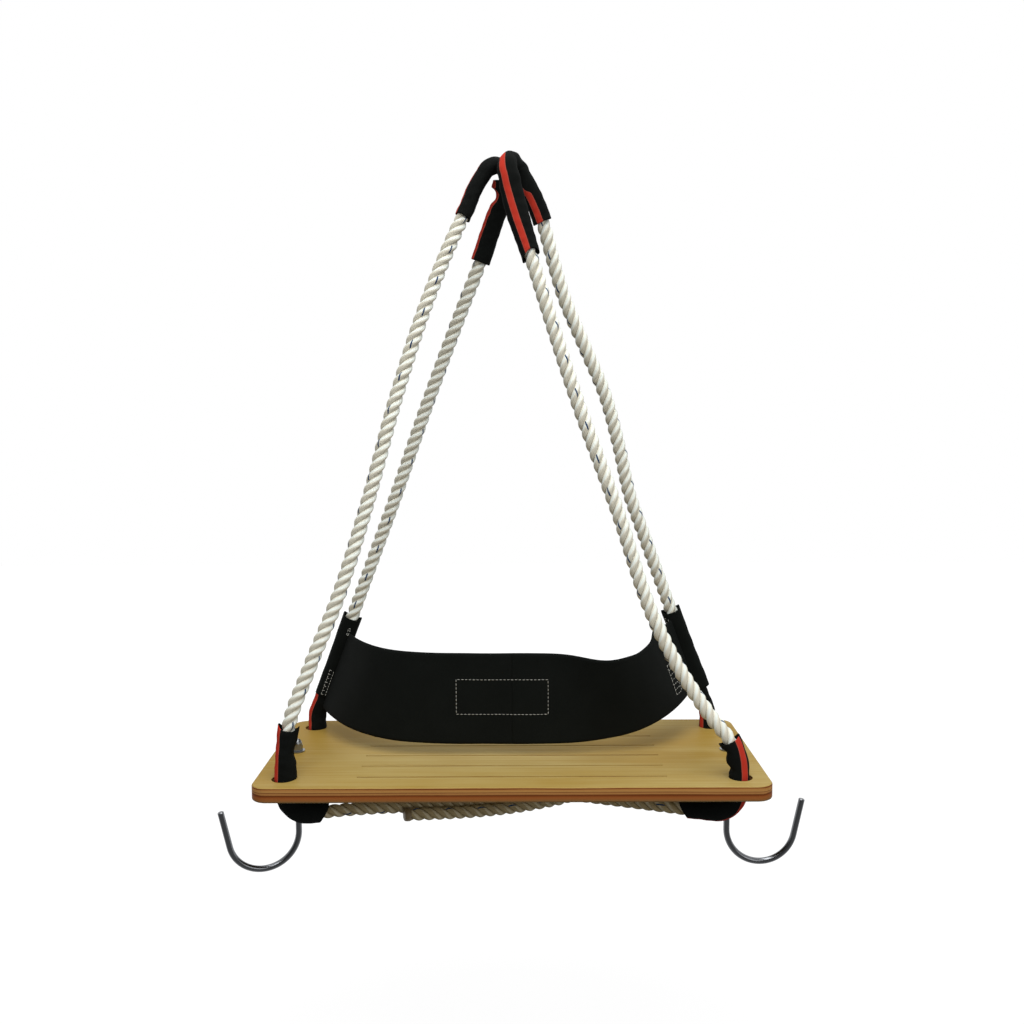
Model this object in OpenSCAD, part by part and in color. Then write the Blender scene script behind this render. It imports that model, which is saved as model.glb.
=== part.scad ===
// Bosun's chair: a grooved plywood seat slung in one endless laid rope. Webbing sleeves guard the rope
// at the crown loops and in the seat holes, a webbing back band rides on the rear ropes, and a tool
// hook swivels under each end of the seat.
// Millimetres, +Z up, +Y to the back. The origin is the suspension point inside the crown loops.

/* [Seat board] */
// Width of the seat, side to side
seat_w = 608; // [560:4:660]
// Depth of the seat, front to back
seat_d = 270; // [250:5:310]
// Thickness of the plywood
seat_t = 18; // [15:1:22]
// Corner radius in plan
corner_r = 20; // [12:1:26]
// Rounding of the top and bottom edges
edge_r = 2; // [1:0.5:4]
// Height of the suspension point above the seat's top
seat_drop = 718; // [690:2:760]
// Number of routed grip grooves in the top
groove_count = 6; // [2:1:6]
// Spacing of the grip grooves
groove_pitch = 39; // [30:1:42]
// Length of each grip groove
groove_len = 368; // [300:2:400]
// Width of each grip groove
groove_w = 2.4; // [1.6:0.2:4]
// Depth of each grip groove
groove_depth = 1.2; // [0.6:0.2:2]

/* [Rope] */
// Diameter of the laid rope
rope_d = 16; // [14:0.5:17]
// Inset of the rope holes from the ends of the seat
hole_inset_x = 34; // [28:1:40]
// Inset of the rope holes from the front and back edges
hole_inset_y = 33; // [28:1:40]
// Radial play of a sleeved rope in its hole
hole_play = 3; // [2:0.5:5]
// Bend radius of the rope under the seat
bend_r = 29; // [26:1:34]
// Sag of the upper crossing rope at mid-seat
upper_sag = 1; // [0:0.5:3]
// Gap between the two crossing ropes at mid-seat
crossing_gap = 0.6; // [0.4:0.1:2]
// Length of the spliced tail beside the lower crossing
tail_len = 260; // [160:5:280]
// Length over which the tail tapers into the rope
tail_taper = 50; // [40:5:90]
// Radius of the tapered end of the tail
tail_tip_r = 4; // [3:0.5:6]

/* [Crown loops] */
// Bend radius of the rope over the suspension, left loop
crown_r_left = 20.5; // [18:0.5:22]
// Bend radius of the rope over the suspension, right loop
crown_r_right = 18; // [17:0.5:20]
// Turn of the left loop about the vertical, from straight front to back
crown_turn_left = 58; // [52:1:62]
// Turn of the right loop about the vertical, from straight front to back
crown_turn_right = 28; // [22:1:32]
// Height of the crown sleeves' underside above the suspension point
crown_rise = 1.5; // [0:0.5:4]

/* [Webbing sleeves] */
// Radial play of the rope inside a sleeve
sleeve_play = 0.5; // [0.4:0.1:0.7]
// Wall of the tubular webbing
sleeve_wall = 2.2; // [1.4:0.1:2.6]
// Short side of a crown sleeve, down its leg
sleeve_short = 50; // [40:1:60]
// Long side of a crown sleeve, down its leg
sleeve_long = 99; // [85:1:110]
// Height of the front left hole sleeve above the seat
sleeve_up_left = 58; // [45:1:70]
// Height of the front right hole sleeve above the seat
sleeve_up_right = 44; // [36:1:60]
// Height of the rear left hole sleeve above the seat
sleeve_up_rear_left = 50; // [49:1:54]
// Height of the rear right hole sleeve above the seat
sleeve_up_rear_right = 60; // [54:1:64]
// Length of a hole sleeve below the seat's top, along the rope
sleeve_down = 76; // [70:1:90]

/* [Back band] */
// Thickness of the band's webbing
band_t = 3; // [2:0.2:4]
// Height of a band loop along its rope
band_loop_len = 116; // [100:1:125]
// Height of the band at the middle
band_w = 116; // [100:1:125]
// Height of the band's lower edge above the seat, at the middle
band_low = 15; // [8:1:24]
// How far the middle of the band lies in front of the seat's centre line
band_reach = 20; // [0:1:40]
// Forward swell of the upper edge near the right end
fold_reach = 22; // [0:1:28]
// Dip of the upper edge at that swell
fold_dip = 7; // [0:1:10]
// Width of that swell, as a share of the half span
fold_share = 0.22; // [0.16:0.02:0.28]

/* [Tool hooks] */
// Diameter of the hook's rod
rod_d = 8; // [6:0.5:8.5]
// Inset of the hooks from the ends of the seat
hook_inset = 29; // [24:1:40]
// Bend radius of a hook, at the rod's centre
hook_r = 44; // [36:1:48]
// Depth of the bend's centre below the seat's top
hook_depth = 104; // [102:1:120]
// Outward lean of the free arm
hook_flare = 12; // [4:1:18]
// Straight length of the free arm
hook_arm = 48; // [30:1:50]
// Chamfer at the rod's ends
rod_chamfer = 0.8; // [0.4:0.1:1.2]
// Turn of the left hook towards the front at rest
left_turn = 22; // [0:1:40]
// Turn of the right hook towards the back at rest
right_turn = 2; // [0:1:40]

/* [Hook fasteners] */
// Width across flats of the nuts
nut_flats = 13; // [12:0.5:16]
// Height of the dome nut's hexagon
dome_hex_h = 6.5; // [5:0.5:8]
// Height of the dome above its hexagon
dome_h = 8; // [7:0.5:10]
// Height of the lock nut
lock_nut_h = 8; // [6:0.5:10]
// Outside diameter of the washers
washer_d = 20; // [18:0.5:24]
// Thickness of the washers
washer_t = 1.6; // [1:0.1:2.4]
// Radial clearance of the rod in the board and the washers
rod_play = 0.4; // [0.3:0.1:0.8]
// Radial clearance of the rod in the nuts
thread_play = 0.1; // [0.1:0.05:0.2]
// End play of the nuts on their washers
swivel_play = 0.3; // [0.3:0.1:0.6]

/* [Hidden] */
$fn = 64;

// Reach of a cut past the face it opens
over = 1;
// Gap at which a soft piece lies against what carries it
seat_gap = 0.3;
// Sides of the rope and sleeve tubes, and rings between two route points
tube_sides = 12;
route_steps = 2;
// Steps of a seat edge's rounding, of a bend under the seat, of a crown and of a crossing's run
edge_steps = 4;
bend_steps = 4;
crown_steps = 6;
run_steps = 6;
tail_steps = 8;
band_steps = 28;

seat_top = -seat_drop;
seat_under = seat_top - seat_t;
rope_r = rope_d / 2;
rod_r = rod_d / 2;
sleeve_in = (rope_r + sleeve_play) / cos(180 / tube_sides);
sleeve_r = sleeve_in + sleeve_wall;
loop_r = sleeve_in + band_t;
hole_r = sleeve_r + hole_play;
hook_x = seat_w / 2 - hook_inset;
up = [0, 0, 1];
// A band loop at its lowest stands on its rear hole sleeve
function band_loop_at(sx) = (sx < 0 ? sleeve_up_rear_left : sleeve_up_rear_right) + seat_gap;

// Bow of each rope leg as hung: share of the way up to the crown, and distance out from a straight
// line. The rear legs are straight where the band loops slide.
bow_front_left = [[0.04, 9], [0.085, 16.8], [0.18, 15.2], [0.29, 8.8], [0.45, 10.4], [0.63, 17.8],
    [0.79, 17.9], [0.89, 12.1], [0.95, 6.4], [0.98, 4.4]];
bow_front_right = [[0.03, 6.7], [0.06, 6.5], [0.10, -5.8], [0.14, -15.2], [0.18, -22.5], [0.25, -29.2],
    [0.44, -24], [0.63, -21.7], [0.80, -14.2], [0.88, -10], [0.93, -7.7], [0.97, -4.2]];
bow_rear_left = [[0.03, 7.9], [0.06, 7.8], [0.40, 6.65], [0.44, 6.52], [0.63, 8.2], [0.80, 6.4], [0.88, 4.6],
    [0.94, 5.7], [0.975, 4.8]];
bow_rear_right = [[0.03, 7.46], [0.06, 6.94], [0.40, 1.03], [0.44, 0.33], [0.54, 8.9], [0.63, 13.3],
    [0.71, 7.8], [0.80, 2], [0.86, 4.2], [0.93, 7.5], [0.97, 5.2]];

function unit(v) = v / norm(v);
function lerp(a, b, t) = a + (b - a) * t;
function flip(list) = [for (i = [len(list) - 1 : -1 : 0]) list[i]];
function rest_of(list) = [for (i = [1 : len(list) - 1]) list[i]];

// Direction of a smooth curve at point b, weighted by the distances to its neighbours
function slope(a, b, c) =
    let (da = norm(b - a), dc = norm(c - b))
    (unit(b - a) * dc + unit(c - b) * da) / (da + dc);

// Point of a cubic between p and q with end directions mp and mq
function cubic(p, q, mp, mq, t) =
    let (h = norm(q - p))
    p * (2 * t ^ 3 - 3 * t ^ 2 + 1) + mp * h * (t ^ 3 - 2 * t ^ 2 + t)
        + q * (3 * t ^ 2 - 2 * t ^ 3) + mq * h * (t ^ 3 - t ^ 2);

// Smooth route through the points, which goes on to the points before and after
function smooth(before, points, after) =
    let (all = concat([before], points, [after]), last = len(points) - 1)
    concat(
        [for (i = [1 : last]) for (k = [0 : route_steps - 1])
            cubic(all[i], all[i + 1], slope(all[i - 1], all[i], all[i + 1]),
                slope(all[i], all[i + 1], all[i + 2]), k / route_steps)],
        [points[last]]);

// Length of a route up to its point i, a point by its distance along, and the stretch between two
function run_to(route, i) = i == 0 ? 0 : run_to(route, i - 1) + norm(route[i] - route[i - 1]);
function run_of(route) = run_to(route, len(route) - 1);
function along(route, s) =
    [for (axis = [0 : 2]) lookup(s, [for (i = [0 : len(route) - 1]) [run_to(route, i), route[i][axis]]])];
function stretch(route, from, to) =
    concat([along(route, from)],
        [for (i = [0 : len(route) - 1]) if (run_to(route, i) > from + over && run_to(route, i) < to - over) route[i]],
        [along(route, to)]);

// Mean direction of a route at point i, given the points that it comes from and goes on to
function heading(route, i, before, after) =
    let (
        back = i > 0 ? route[i - 1] : before,
        ahead = i < len(route) - 1 ? route[i + 1] : after,
        goes = is_undef(ahead) ? unit(route[i] - back) : unit(ahead - route[i]),
        came = is_undef(back) ? goes : unit(route[i] - back)
    )
    unit(came + goes);

// Ring of points round a route's point, square to its direction t, with its first point across ref
function ring(p, t, ref, r) =
    let (v = unit(ref - t * (ref * t)), u = cross(v, t))
    [for (k = [0 : tube_sides - 1]) p + (u * cos(360 * k / tube_sides) + v * sin(360 * k / tube_sides)) * r];
function skin(route, radii, ref, before, after) =
    [for (i = [0 : len(route) - 1]) each ring(route[i], heading(route, i, before, after), ref, radii[i])];

// Two triangles between neighbouring rings at side k, whose points start at index base
function side_faces(base, i, k) =
    let (
        n = tube_sides,
        a = base + i * n + k,
        d = base + i * n + (k + 1) % n
    )
    [[a, a + n, d + n], [a, d + n, d]];
function walls(base, rings) = [for (i = [0 : rings - 2]) for (k = [0 : tube_sides - 1]) each side_faces(base, i, k)];
function turned(faces) = [for (f = faces) flip(f)];

// Solid tube along a route, and a pipe with a bore along it
module tube(route, radii, ref, before, after) {
    n = tube_sides;
    rings = len(route);
    first = [for (k = [0 : n - 1]) k];
    last = [for (k = [n - 1 : -1 : 0]) (rings - 1) * n + k];
    polyhedron(skin(route, radii, ref, before, after), concat([first], walls(0, rings), [last]));
}
module pipe(route, outer, inner, ref) {
    n = tube_sides;
    rings = len(route);
    base = rings * n;
    end = (rings - 1) * n;
    rims = [for (k = [0 : n - 1]) let (j = (k + 1) % n) each [
        [k, j, base + j], [k, base + j, base + k],
        [end + j, end + k, base + end + k], [end + j, base + end + k, base + end + j]]];
    polyhedron(
        concat(skin(route, [for (p = route) outer], ref), skin(route, [for (p = route) inner], ref)),
        concat(walls(0, rings), turned(walls(base, rings)), rims));
}
module rope(route, ref, before, after) {
    color("ivory") tube(route, [for (p = route) rope_r], ref, before, after);
}
module sleeve(route, ref) {
    color("#1b1b1d") pipe(route, sleeve_r, sleeve_in, ref);
}

// Where the rope rises through a hole: it leans on the inner wall, towards the middle of the seat
function hole_at(sx, sy) = [sx * (seat_w / 2 - hole_inset_x), sy * (seat_d / 2 - hole_inset_y), seat_top];
function outward(sx, sy) = unit([hole_at(sx, sy).x, hole_at(sx, sy).y, 0]);
function rope_at(sx, sy) = hole_at(sx, sy) - outward(sx, sy) * (hole_r - sleeve_r - seat_gap);
function below(p) = p - [0, 0, seat_t];

// Crown loops as hung, each in a plane of its own: place of its top in plan, lean of its plane towards
// the right, and the angles of the bend at which the front leg comes in and the rear leg goes out
left_top = [-14.5, 12];
left_lean = 9;
left_from = 20;
left_to = 195;
right_top = [2.5, -13];
right_lean = -17;
right_from = -5;
right_to = 164;
function across(turn) = [cos(turn), -sin(turn), 0];
function crown(top, r, turn, lean, from, to) =
    let (
        ahead = [sin(turn), cos(turn), 0],
        rise = up * cos(lean) + across(turn) * sin(lean),
        c = [top.x, top.y, sleeve_r + crown_rise] - rise * r
    )
    [for (k = [0 : crown_steps])
        let (a = lerp(from, to, k / crown_steps))
        c - ahead * r * cos(a) + rise * r * sin(a)];
left_side = across(crown_turn_left);
right_side = across(crown_turn_right);
crown_left = crown(left_top, crown_r_left, crown_turn_left, left_lean, left_from, left_to);
crown_right = crown(right_top, crown_r_right, crown_turn_right, right_lean, right_from, right_to);

// A rope leg, from the top of its hole up to its end of the crown
function leg(sx, sy, bows, arch) =
    let (start = rope_at(sx, sy), out = outward(sx, sy))
    smooth(below(start),
        concat([start], [for (b = bows) lerp(start, arch[0], b[0]) + out * b[1]], [arch[0]]),
        arch[1]);
leg_front_left = leg(-1, -1, bow_front_left, crown_left);
leg_rear_left = leg(-1, 1, bow_rear_left, flip(crown_left));
leg_front_right = leg(1, -1, bow_front_right, crown_right);
leg_rear_right = leg(1, 1, bow_rear_right, flip(crown_right));

// A crossing under the seat: down a hole, round a bend, across with some sag and up the far hole
function bend(p, dir) =
    [for (k = [0 : bend_steps]) let (a = 90 * k / bend_steps)
        below(p) + dir * bend_r * (1 - cos(a)) - [0, 0, bend_r * sin(a)]];
function crossing(a, b, sag) =
    let (
        dir = unit(b - a),
        near = bend(a, dir),
        far = flip(bend(b, -dir)),
        run = [for (k = [1 : run_steps - 1]) let (t = k / run_steps)
            lerp(near[bend_steps], far[0], t) - [0, 0, sag * sin(180 * t) ^ 2]]
    )
    concat([a], near, run, far, [b]);
lower_run = crossing(rope_at(-1, -1), rope_at(1, 1), upper_sag + rope_d + crossing_gap);
upper_run = crossing(rope_at(1, -1), rope_at(-1, 1), upper_sag);
lower_dir = unit(rope_at(1, 1) - rope_at(-1, -1));
upper_dir = unit(rope_at(-1, 1) - rope_at(1, -1));
lower_side = cross(lower_dir, up);
upper_side = cross(upper_dir, up);

// The tail lies along the front of the lower crossing, and tapers where its strands are tucked in
tail_at = 175;
tail_lean = 14;
tail_gap = 0.5;
tail_shift = (lower_side * cos(tail_lean) - up * sin(tail_lean)) * (rope_d + tail_gap);
tail_route = [for (k = [0 : tail_steps]) along(lower_run, tail_at + tail_len * k / tail_steps) + tail_shift];
function tail_radius(s) = lookup(s, [[0, rope_r], [tail_len - tail_taper, rope_r], [tail_len, tail_tip_r]]);

// Crown sleeve along a whole bight, with its ends at set distances down the two legs
function bight(front, arch, rear) = concat(front, rest_of(arch), rest_of(flip(rear)));
function crown_cover(front, arch, rear, front_len, rear_len) =
    let (start = run_of(front), end = start + run_of(arch))
    stretch(bight(front, arch, rear), start - front_len, end + rear_len);
function hole_cover(rope_leg, run, up_len) =
    concat(flip(stretch(rope_leg, 0, up_len)), rest_of(stretch(run, 0, sleeve_down)));
function loop_cover(rope_leg, sx) = stretch(rope_leg, band_loop_at(sx), band_loop_at(sx) + band_loop_len);

// Edges of the back band. Share u runs from -1 at the left loop to 1 at the right one. Each edge bows
// forward from the loops to the middle, and the upper one swells forward near its right end.
left_power = 5;
right_power = 5;
low_rise = 3;
left_rise = 3;
right_rise = 8;
fold_at = 0.6;
loop_lap = 0.35;
leave_turn = 60;
function leave(sx) = [-sx * cos(leave_turn), -sin(leave_turn), 0];
function band_end(sx, from_low) =
    let (rope_leg = sx < 0 ? leg_rear_left : leg_rear_right)
    along(rope_leg, band_loop_at(sx) + from_low) + leave(sx) * (loop_r + band_t / 2 - loop_lap);
function band_edge(u, from_low, height, climb, swell, dip) =
    let (
        end = band_end(u < 0 ? -1 : 1, from_low),
        mid = [0, -band_reach, seat_top + height],
        power = u < 0 ? left_power : right_power,
        share = abs(u),
        fold = exp(-((u - fold_at) / fold_share) ^ 2) * (1 - share ^ power)
    )
    [end.x * share,
        lerp(mid.y, end.y, share ^ power) - swell * fold,
        lerp(mid.z, end.z, share ^ climb) - dip * fold];
function low_edge(u) = band_edge(u, u < 0 ? left_edge_at : right_edge_at, band_low, low_rise, 0, 0);
function high_edge(u) =
    band_edge(u, band_loop_len - (u < 0 ? left_drop : right_drop), band_low + band_w,
        u < 0 ? left_rise : right_rise, fold_reach, fold_dip);
// How far the band's lower corners stand above the bottom of their loops, and its upper ones below the top
left_edge_at = -18;
right_edge_at = 5;
left_drop = 22;
right_drop = 12;
edge_step = 0.01;
function band_station(u) =
    let (
        low = low_edge(u),
        high = high_edge(u),
        behind = (low_edge(u - edge_step) + high_edge(u - edge_step)) / 2,
        ahead = (low_edge(u + edge_step) + high_edge(u + edge_step)) / 2,
        n = unit(cross(ahead - behind, high - low)) * band_t / 2
    )
    [low + n, high + n, high - n, low - n];

module seat_edge() {
    arc = [for (k = [0 : edge_steps]) 90 * k / edge_steps];
    polygon(concat(
        [[0, 0]],
        [for (a = arc) [corner_r - edge_r + edge_r * sin(a), edge_r - edge_r * cos(a)]],
        [for (a = arc) [corner_r - edge_r + edge_r * cos(a), seat_t - edge_r + edge_r * sin(a)]],
        [[0, seat_t]]));
}
module seat_side(length) {
    rotate([90, 0, 0]) linear_extrude(length, center = true) seat_edge();
}
module seat_blank() {
    inner_w = seat_w - 2 * corner_r;
    inner_d = seat_d - 2 * corner_r;
    translate([-inner_w / 2, -inner_d / 2, 0]) cube([inner_w, inner_d, seat_t]);
    for (turn = [0, 180]) {
        rotate(turn) translate([inner_w / 2, 0, 0]) seat_side(inner_d);
        rotate(turn + 90) translate([inner_d / 2, 0, 0]) seat_side(inner_w);
    }
    for (sx = [-1, 1], sy = [-1, 1]) {
        translate([sx * inner_w / 2, sy * inner_d / 2, 0])
            rotate(sx > 0 ? (sy > 0 ? 0 : -90) : (sy > 0 ? 90 : 180)) rotate_extrude(angle = 90) seat_edge();
    }
}
module seat_board() {
    color("burlywood") difference() {
        translate([0, 0, seat_under]) seat_blank();
        for (sx = [-1, 1], sy = [-1, 1])
            translate(below(hole_at(sx, sy)) - up * over) cylinder(r = hole_r, h = seat_t + 2 * over);
        for (sx = [-1, 1])
            translate([sx * hook_x, 0, seat_under - over]) cylinder(r = rod_r + rod_play, h = seat_t + 2 * over);
        for (k = [0 : groove_count - 1])
            translate([-groove_len / 2, (k - (groove_count - 1) / 2) * groove_pitch - groove_w / 2,
                seat_top - groove_depth])
                cube([groove_len, groove_w, groove_depth + over]);
    }
}

module rope_leg_front_left() { rope(leg_front_left, left_side, lower_run[1], crown_left[1]); }
module rope_leg_front_right() { rope(leg_front_right, right_side, upper_run[1], crown_right[1]); }
module rope_leg_rear_left() { rope(leg_rear_left, left_side, flip(upper_run)[1], flip(crown_left)[1]); }
module rope_leg_rear_right() { rope(leg_rear_right, right_side, flip(lower_run)[1], flip(crown_right)[1]); }
module rope_crown_left() { rope(crown_left, left_side, flip(leg_front_left)[1], flip(leg_rear_left)[1]); }
module rope_crown_right() {
    rope(crown_right, right_side, flip(leg_front_right)[1], flip(leg_rear_right)[1]);
}
module rope_crossing_upper() { rope(upper_run, upper_side, leg_front_right[1], leg_rear_left[1]); }
module rope_crossing_lower() { rope(lower_run, lower_side, leg_front_left[1], leg_rear_right[1]); }
module rope_splice_tail() {
    color("ivory")
        tube(tail_route, [for (k = [0 : tail_steps]) tail_radius(tail_len * k / tail_steps)], lower_side);
}

module crown_sleeve_left() {
    sleeve(crown_cover(leg_front_left, crown_left, leg_rear_left, sleeve_short, sleeve_long), left_side);
}
module crown_sleeve_right() {
    sleeve(crown_cover(leg_front_right, crown_right, leg_rear_right, sleeve_long, sleeve_short), right_side);
}
module hole_sleeve_front_left() { sleeve(hole_cover(leg_front_left, lower_run, sleeve_up_left), lower_side); }
module hole_sleeve_front_right() {
    sleeve(hole_cover(leg_front_right, upper_run, sleeve_up_right), upper_side);
}
module hole_sleeve_rear_left() {
    sleeve(hole_cover(leg_rear_left, flip(upper_run), sleeve_up_rear_left), upper_side);
}
module hole_sleeve_rear_right() {
    sleeve(hole_cover(leg_rear_right, flip(lower_run), sleeve_up_rear_right), lower_side);
}

module back_band() {
    stations = [for (k = [0 : band_steps]) band_station(sin(90 * (2 * k / band_steps - 1)))];
    points = [for (s = stations) each s];
    end = 4 * band_steps;
    sides = [for (k = [0 : band_steps - 1]) for (e = [0 : 3])
        let (a = 4 * k + e, d = 4 * k + (e + 1) % 4)
        each [[a, a + 4, d + 4], [a, d + 4, d]]];
    color("#17181a")
        polyhedron(points, concat([[0, 1, 2], [0, 2, 3]], sides, [[end + 2, end + 1, end], [end + 3, end + 2, end]]));
}
module band_loop_left() {
    color("#17181a") pipe(loop_cover(leg_rear_left, -1), loop_r, sleeve_in, left_side);
}
module band_loop_right() {
    color("#17181a") pipe(loop_cover(leg_rear_right, 1), loop_r, sleeve_in, right_side);
}

// The free arm is a hair slimmer than the bend and starts just inside it, so that the two join
arm_ease = 0.02;
arm_lap = 0.5;

// One hook at the origin of its shank, with the seat's top at zero and its arm towards +X
module hook() {
    sweep = 180 - hook_flare;
    shank_top = washer_t + swivel_play + dome_hex_h;
    translate([0, 0, -hook_depth]) cylinder(r = rod_r, h = hook_depth + shank_top - rod_chamfer);
    translate([0, 0, shank_top - rod_chamfer]) cylinder(r1 = rod_r, r2 = rod_r - rod_chamfer, h = rod_chamfer);
    translate([hook_r, 0, -hook_depth]) rotate([90, 0, 0]) rotate(180)
        rotate_extrude(angle = sweep) translate([hook_r, 0]) circle(r = rod_r);
    translate([hook_r * (1 + cos(hook_flare)), 0, -hook_depth - hook_r * sin(hook_flare)]) rotate([0, hook_flare, 0]) {
        translate([0, 0, -arm_lap]) cylinder(r = rod_r - arm_ease, h = hook_arm + arm_lap - rod_chamfer);
        translate([0, 0, hook_arm - rod_chamfer])
            cylinder(r1 = rod_r - arm_ease, r2 = rod_r - arm_ease - rod_chamfer, h = rod_chamfer);
    }
}
module at_left() { translate([-hook_x, 0, seat_top]) rotate(180 + left_turn) children(); }
module at_right() { translate([hook_x, 0, seat_top]) rotate(right_turn) children(); }
module hook_left() { color("#8d9296") at_left() hook(); }
module hook_right() { color("#8d9296") at_right() hook(); }

module hexagon(h) {
    cylinder(r = nut_flats / 2 / cos(30), h = h, $fn = 6);
}
module dome_nut() {
    dome_r = nut_flats / 2;
    bore_r = rod_r + thread_play;
    difference() {
        translate([0, 0, washer_t + swivel_play]) {
            hexagon(dome_hex_h);
            translate([0, 0, dome_hex_h]) cylinder(r = dome_r, h = dome_h - dome_r);
            translate([0, 0, dome_hex_h + dome_h - dome_r]) sphere(r = dome_r);
        }
        cylinder(r = bore_r, h = washer_t + swivel_play + dome_hex_h + thread_play);
    }
}
module washer() {
    difference() {
        cylinder(d = washer_d, h = washer_t);
        translate([0, 0, -over]) cylinder(r = rod_r + rod_play, h = washer_t + 2 * over);
    }
}
module lock_nut() {
    difference() {
        hexagon(lock_nut_h);
        translate([0, 0, -over]) cylinder(r = rod_r + thread_play, h = lock_nut_h + 2 * over);
    }
}
module dome_nut_left() { color("#9aa0a3") at_left() dome_nut(); }
module dome_nut_right() { color("#9aa0a3") at_right() dome_nut(); }
module top_washer_left() { color("#a9adaf") at_left() washer(); }
module top_washer_right() { color("#a9adaf") at_right() washer(); }
module lower_washer_left() { color("#a9adaf") at_left() translate([0, 0, -seat_t - washer_t]) washer(); }
module lower_washer_right() { color("#a9adaf") at_right() translate([0, 0, -seat_t - washer_t]) washer(); }
lock_nut_z = -seat_t - washer_t - swivel_play - lock_nut_h;
module lock_nut_left() { color("#9aa0a3") at_left() translate([0, 0, lock_nut_z]) lock_nut(); }
module lock_nut_right() { color("#9aa0a3") at_right() translate([0, 0, lock_nut_z]) lock_nut(); }

seat_board();
rope_leg_front_left();
rope_leg_front_right();
rope_leg_rear_left();
rope_leg_rear_right();
rope_crown_left();
rope_crown_right();
rope_crossing_upper();
rope_crossing_lower();
rope_splice_tail();
crown_sleeve_left();
crown_sleeve_right();
hole_sleeve_front_left();
hole_sleeve_front_right();
hole_sleeve_rear_left();
hole_sleeve_rear_right();
back_band();
band_loop_left();
band_loop_right();
hook_left();
hook_right();
dome_nut_left();
dome_nut_right();
top_washer_left();
top_washer_right();
lower_washer_left();
lower_washer_right();
lock_nut_left();
lock_nut_right();
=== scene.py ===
"""Looks of a bosun's chair: laid rope, webbing sleeves and back band, varnished seat and plated hooks.

Lengths are millimetres in the part's frame (+Z up, front at -Y, origin at the suspension point) and
become metres where a mesh is made. Every soft piece repeats the route of the solid that it stands for.
"""

import logging
import math
from dataclasses import dataclass, field
from enum import Enum
from functools import partial
from typing import Any, Callable, Sequence

import bpy
import numpy as np
from mathutils import Matrix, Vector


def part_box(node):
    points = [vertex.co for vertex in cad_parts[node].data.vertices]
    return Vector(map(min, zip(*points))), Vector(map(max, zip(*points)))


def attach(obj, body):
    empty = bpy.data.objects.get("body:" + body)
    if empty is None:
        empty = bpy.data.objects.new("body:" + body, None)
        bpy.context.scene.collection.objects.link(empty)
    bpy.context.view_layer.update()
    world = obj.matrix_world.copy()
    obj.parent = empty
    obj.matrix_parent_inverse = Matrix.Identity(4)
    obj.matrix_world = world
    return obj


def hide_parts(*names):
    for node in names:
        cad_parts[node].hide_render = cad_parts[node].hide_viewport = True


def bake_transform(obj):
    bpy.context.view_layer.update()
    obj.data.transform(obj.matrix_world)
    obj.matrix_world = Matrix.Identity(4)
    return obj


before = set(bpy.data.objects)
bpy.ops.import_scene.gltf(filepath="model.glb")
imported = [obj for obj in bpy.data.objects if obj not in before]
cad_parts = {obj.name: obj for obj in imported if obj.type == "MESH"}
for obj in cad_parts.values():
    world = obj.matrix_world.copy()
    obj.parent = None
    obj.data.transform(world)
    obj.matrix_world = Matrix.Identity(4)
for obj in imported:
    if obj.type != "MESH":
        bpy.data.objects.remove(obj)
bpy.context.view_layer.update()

LOG = logging.getLogger("bosuns_chair")
MM = 0.001
UP = np.array([0.0, 0.0, 1.0])
# Points along a route over which its direction at an end is taken
LEAD = 6
Array = np.ndarray
# Pairs of share of the way and value
Keys = Sequence[tuple[float, float]]
# Pairs of start and end along a route
Spans = Sequence[tuple[float, float]]
# Points of a line on cloth, and the outward directions there
Line = tuple[Array, Array]


class Body(str, Enum):
    """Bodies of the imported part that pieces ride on."""

    CHAIR = "chair"
    BAND = "back_band"
    LOOP_LEFT = "band_end_left"
    LOOP_RIGHT = "band_end_right"


class Corner(Enum):
    """Rope holes of the seat, as signs along X and Y."""

    FRONT_LEFT = (-1, -1)
    FRONT_RIGHT = (1, -1)
    REAR_LEFT = (-1, 1)
    REAR_RIGHT = (1, 1)


# Vectors and routes


def unit(v: Array) -> Array:
    """Vectors of length one along the last axis."""
    return v / np.linalg.norm(v, axis=-1, keepdims=True)


def point(*xyz: float) -> Array:
    """A point or vector as an array of floats."""
    return np.array(xyz, float)


def smooth_route(before: Array, points: Sequence[Array], after: Array, steps: int = 24) -> Array:
    """Cubic curve through points whose slope at each one is weighted by the distances to its neighbours.

    Args:
        before: Point that the curve comes from.
        points: Points that it passes through.
        after: Point that it goes on to.
        steps: Points made for each stretch.

    Returns:
        Points of the curve, ends included.
    """
    p = np.array([before, *points, after])
    gap = np.linalg.norm(np.diff(p, axis=0), axis=1)[:, None]
    way = np.diff(p, axis=0) / gap
    slope = (way[:-1] * gap[1:] + way[1:] * gap[:-1]) / (gap[1:] + gap[:-1])
    t = (np.arange(steps) / steps)[None, :, None]
    a, b, h = p[1:-2, None], p[2:-1, None], gap[1:-1, None]
    curve = (
        a * (2 * t**3 - 3 * t**2 + 1)
        + slope[:-1, None] * h * (t**3 - 2 * t**2 + t)
        + b * (3 * t**2 - 2 * t**3)
        + slope[1:, None] * h * (t**3 - t**2)
    )
    return np.concatenate([curve.reshape(-1, 3), p[-2:-1]])


def run_of(route: Array) -> Array:
    """Distance along a route at each of its points."""
    return np.concatenate([[0.0], np.cumsum(np.linalg.norm(np.diff(route, axis=0), axis=1))])


def vectors_at(s: Array, run: Array, known: Array) -> Array:
    """Vectors at distances s, each straight between those known at the distances in run."""
    return np.stack([np.interp(s, run, known[:, k]) for k in range(3)], axis=-1)


def along(route: Array, s: Array) -> Array:
    """Points of a route at distances s."""
    return vectors_at(s, run_of(route), route)


def join_routes(*routes: Array) -> Array:
    """Routes end to end, with each shared point kept once."""
    return np.concatenate([routes[0]] + [r[1:] for r in routes[1:]])


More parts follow.
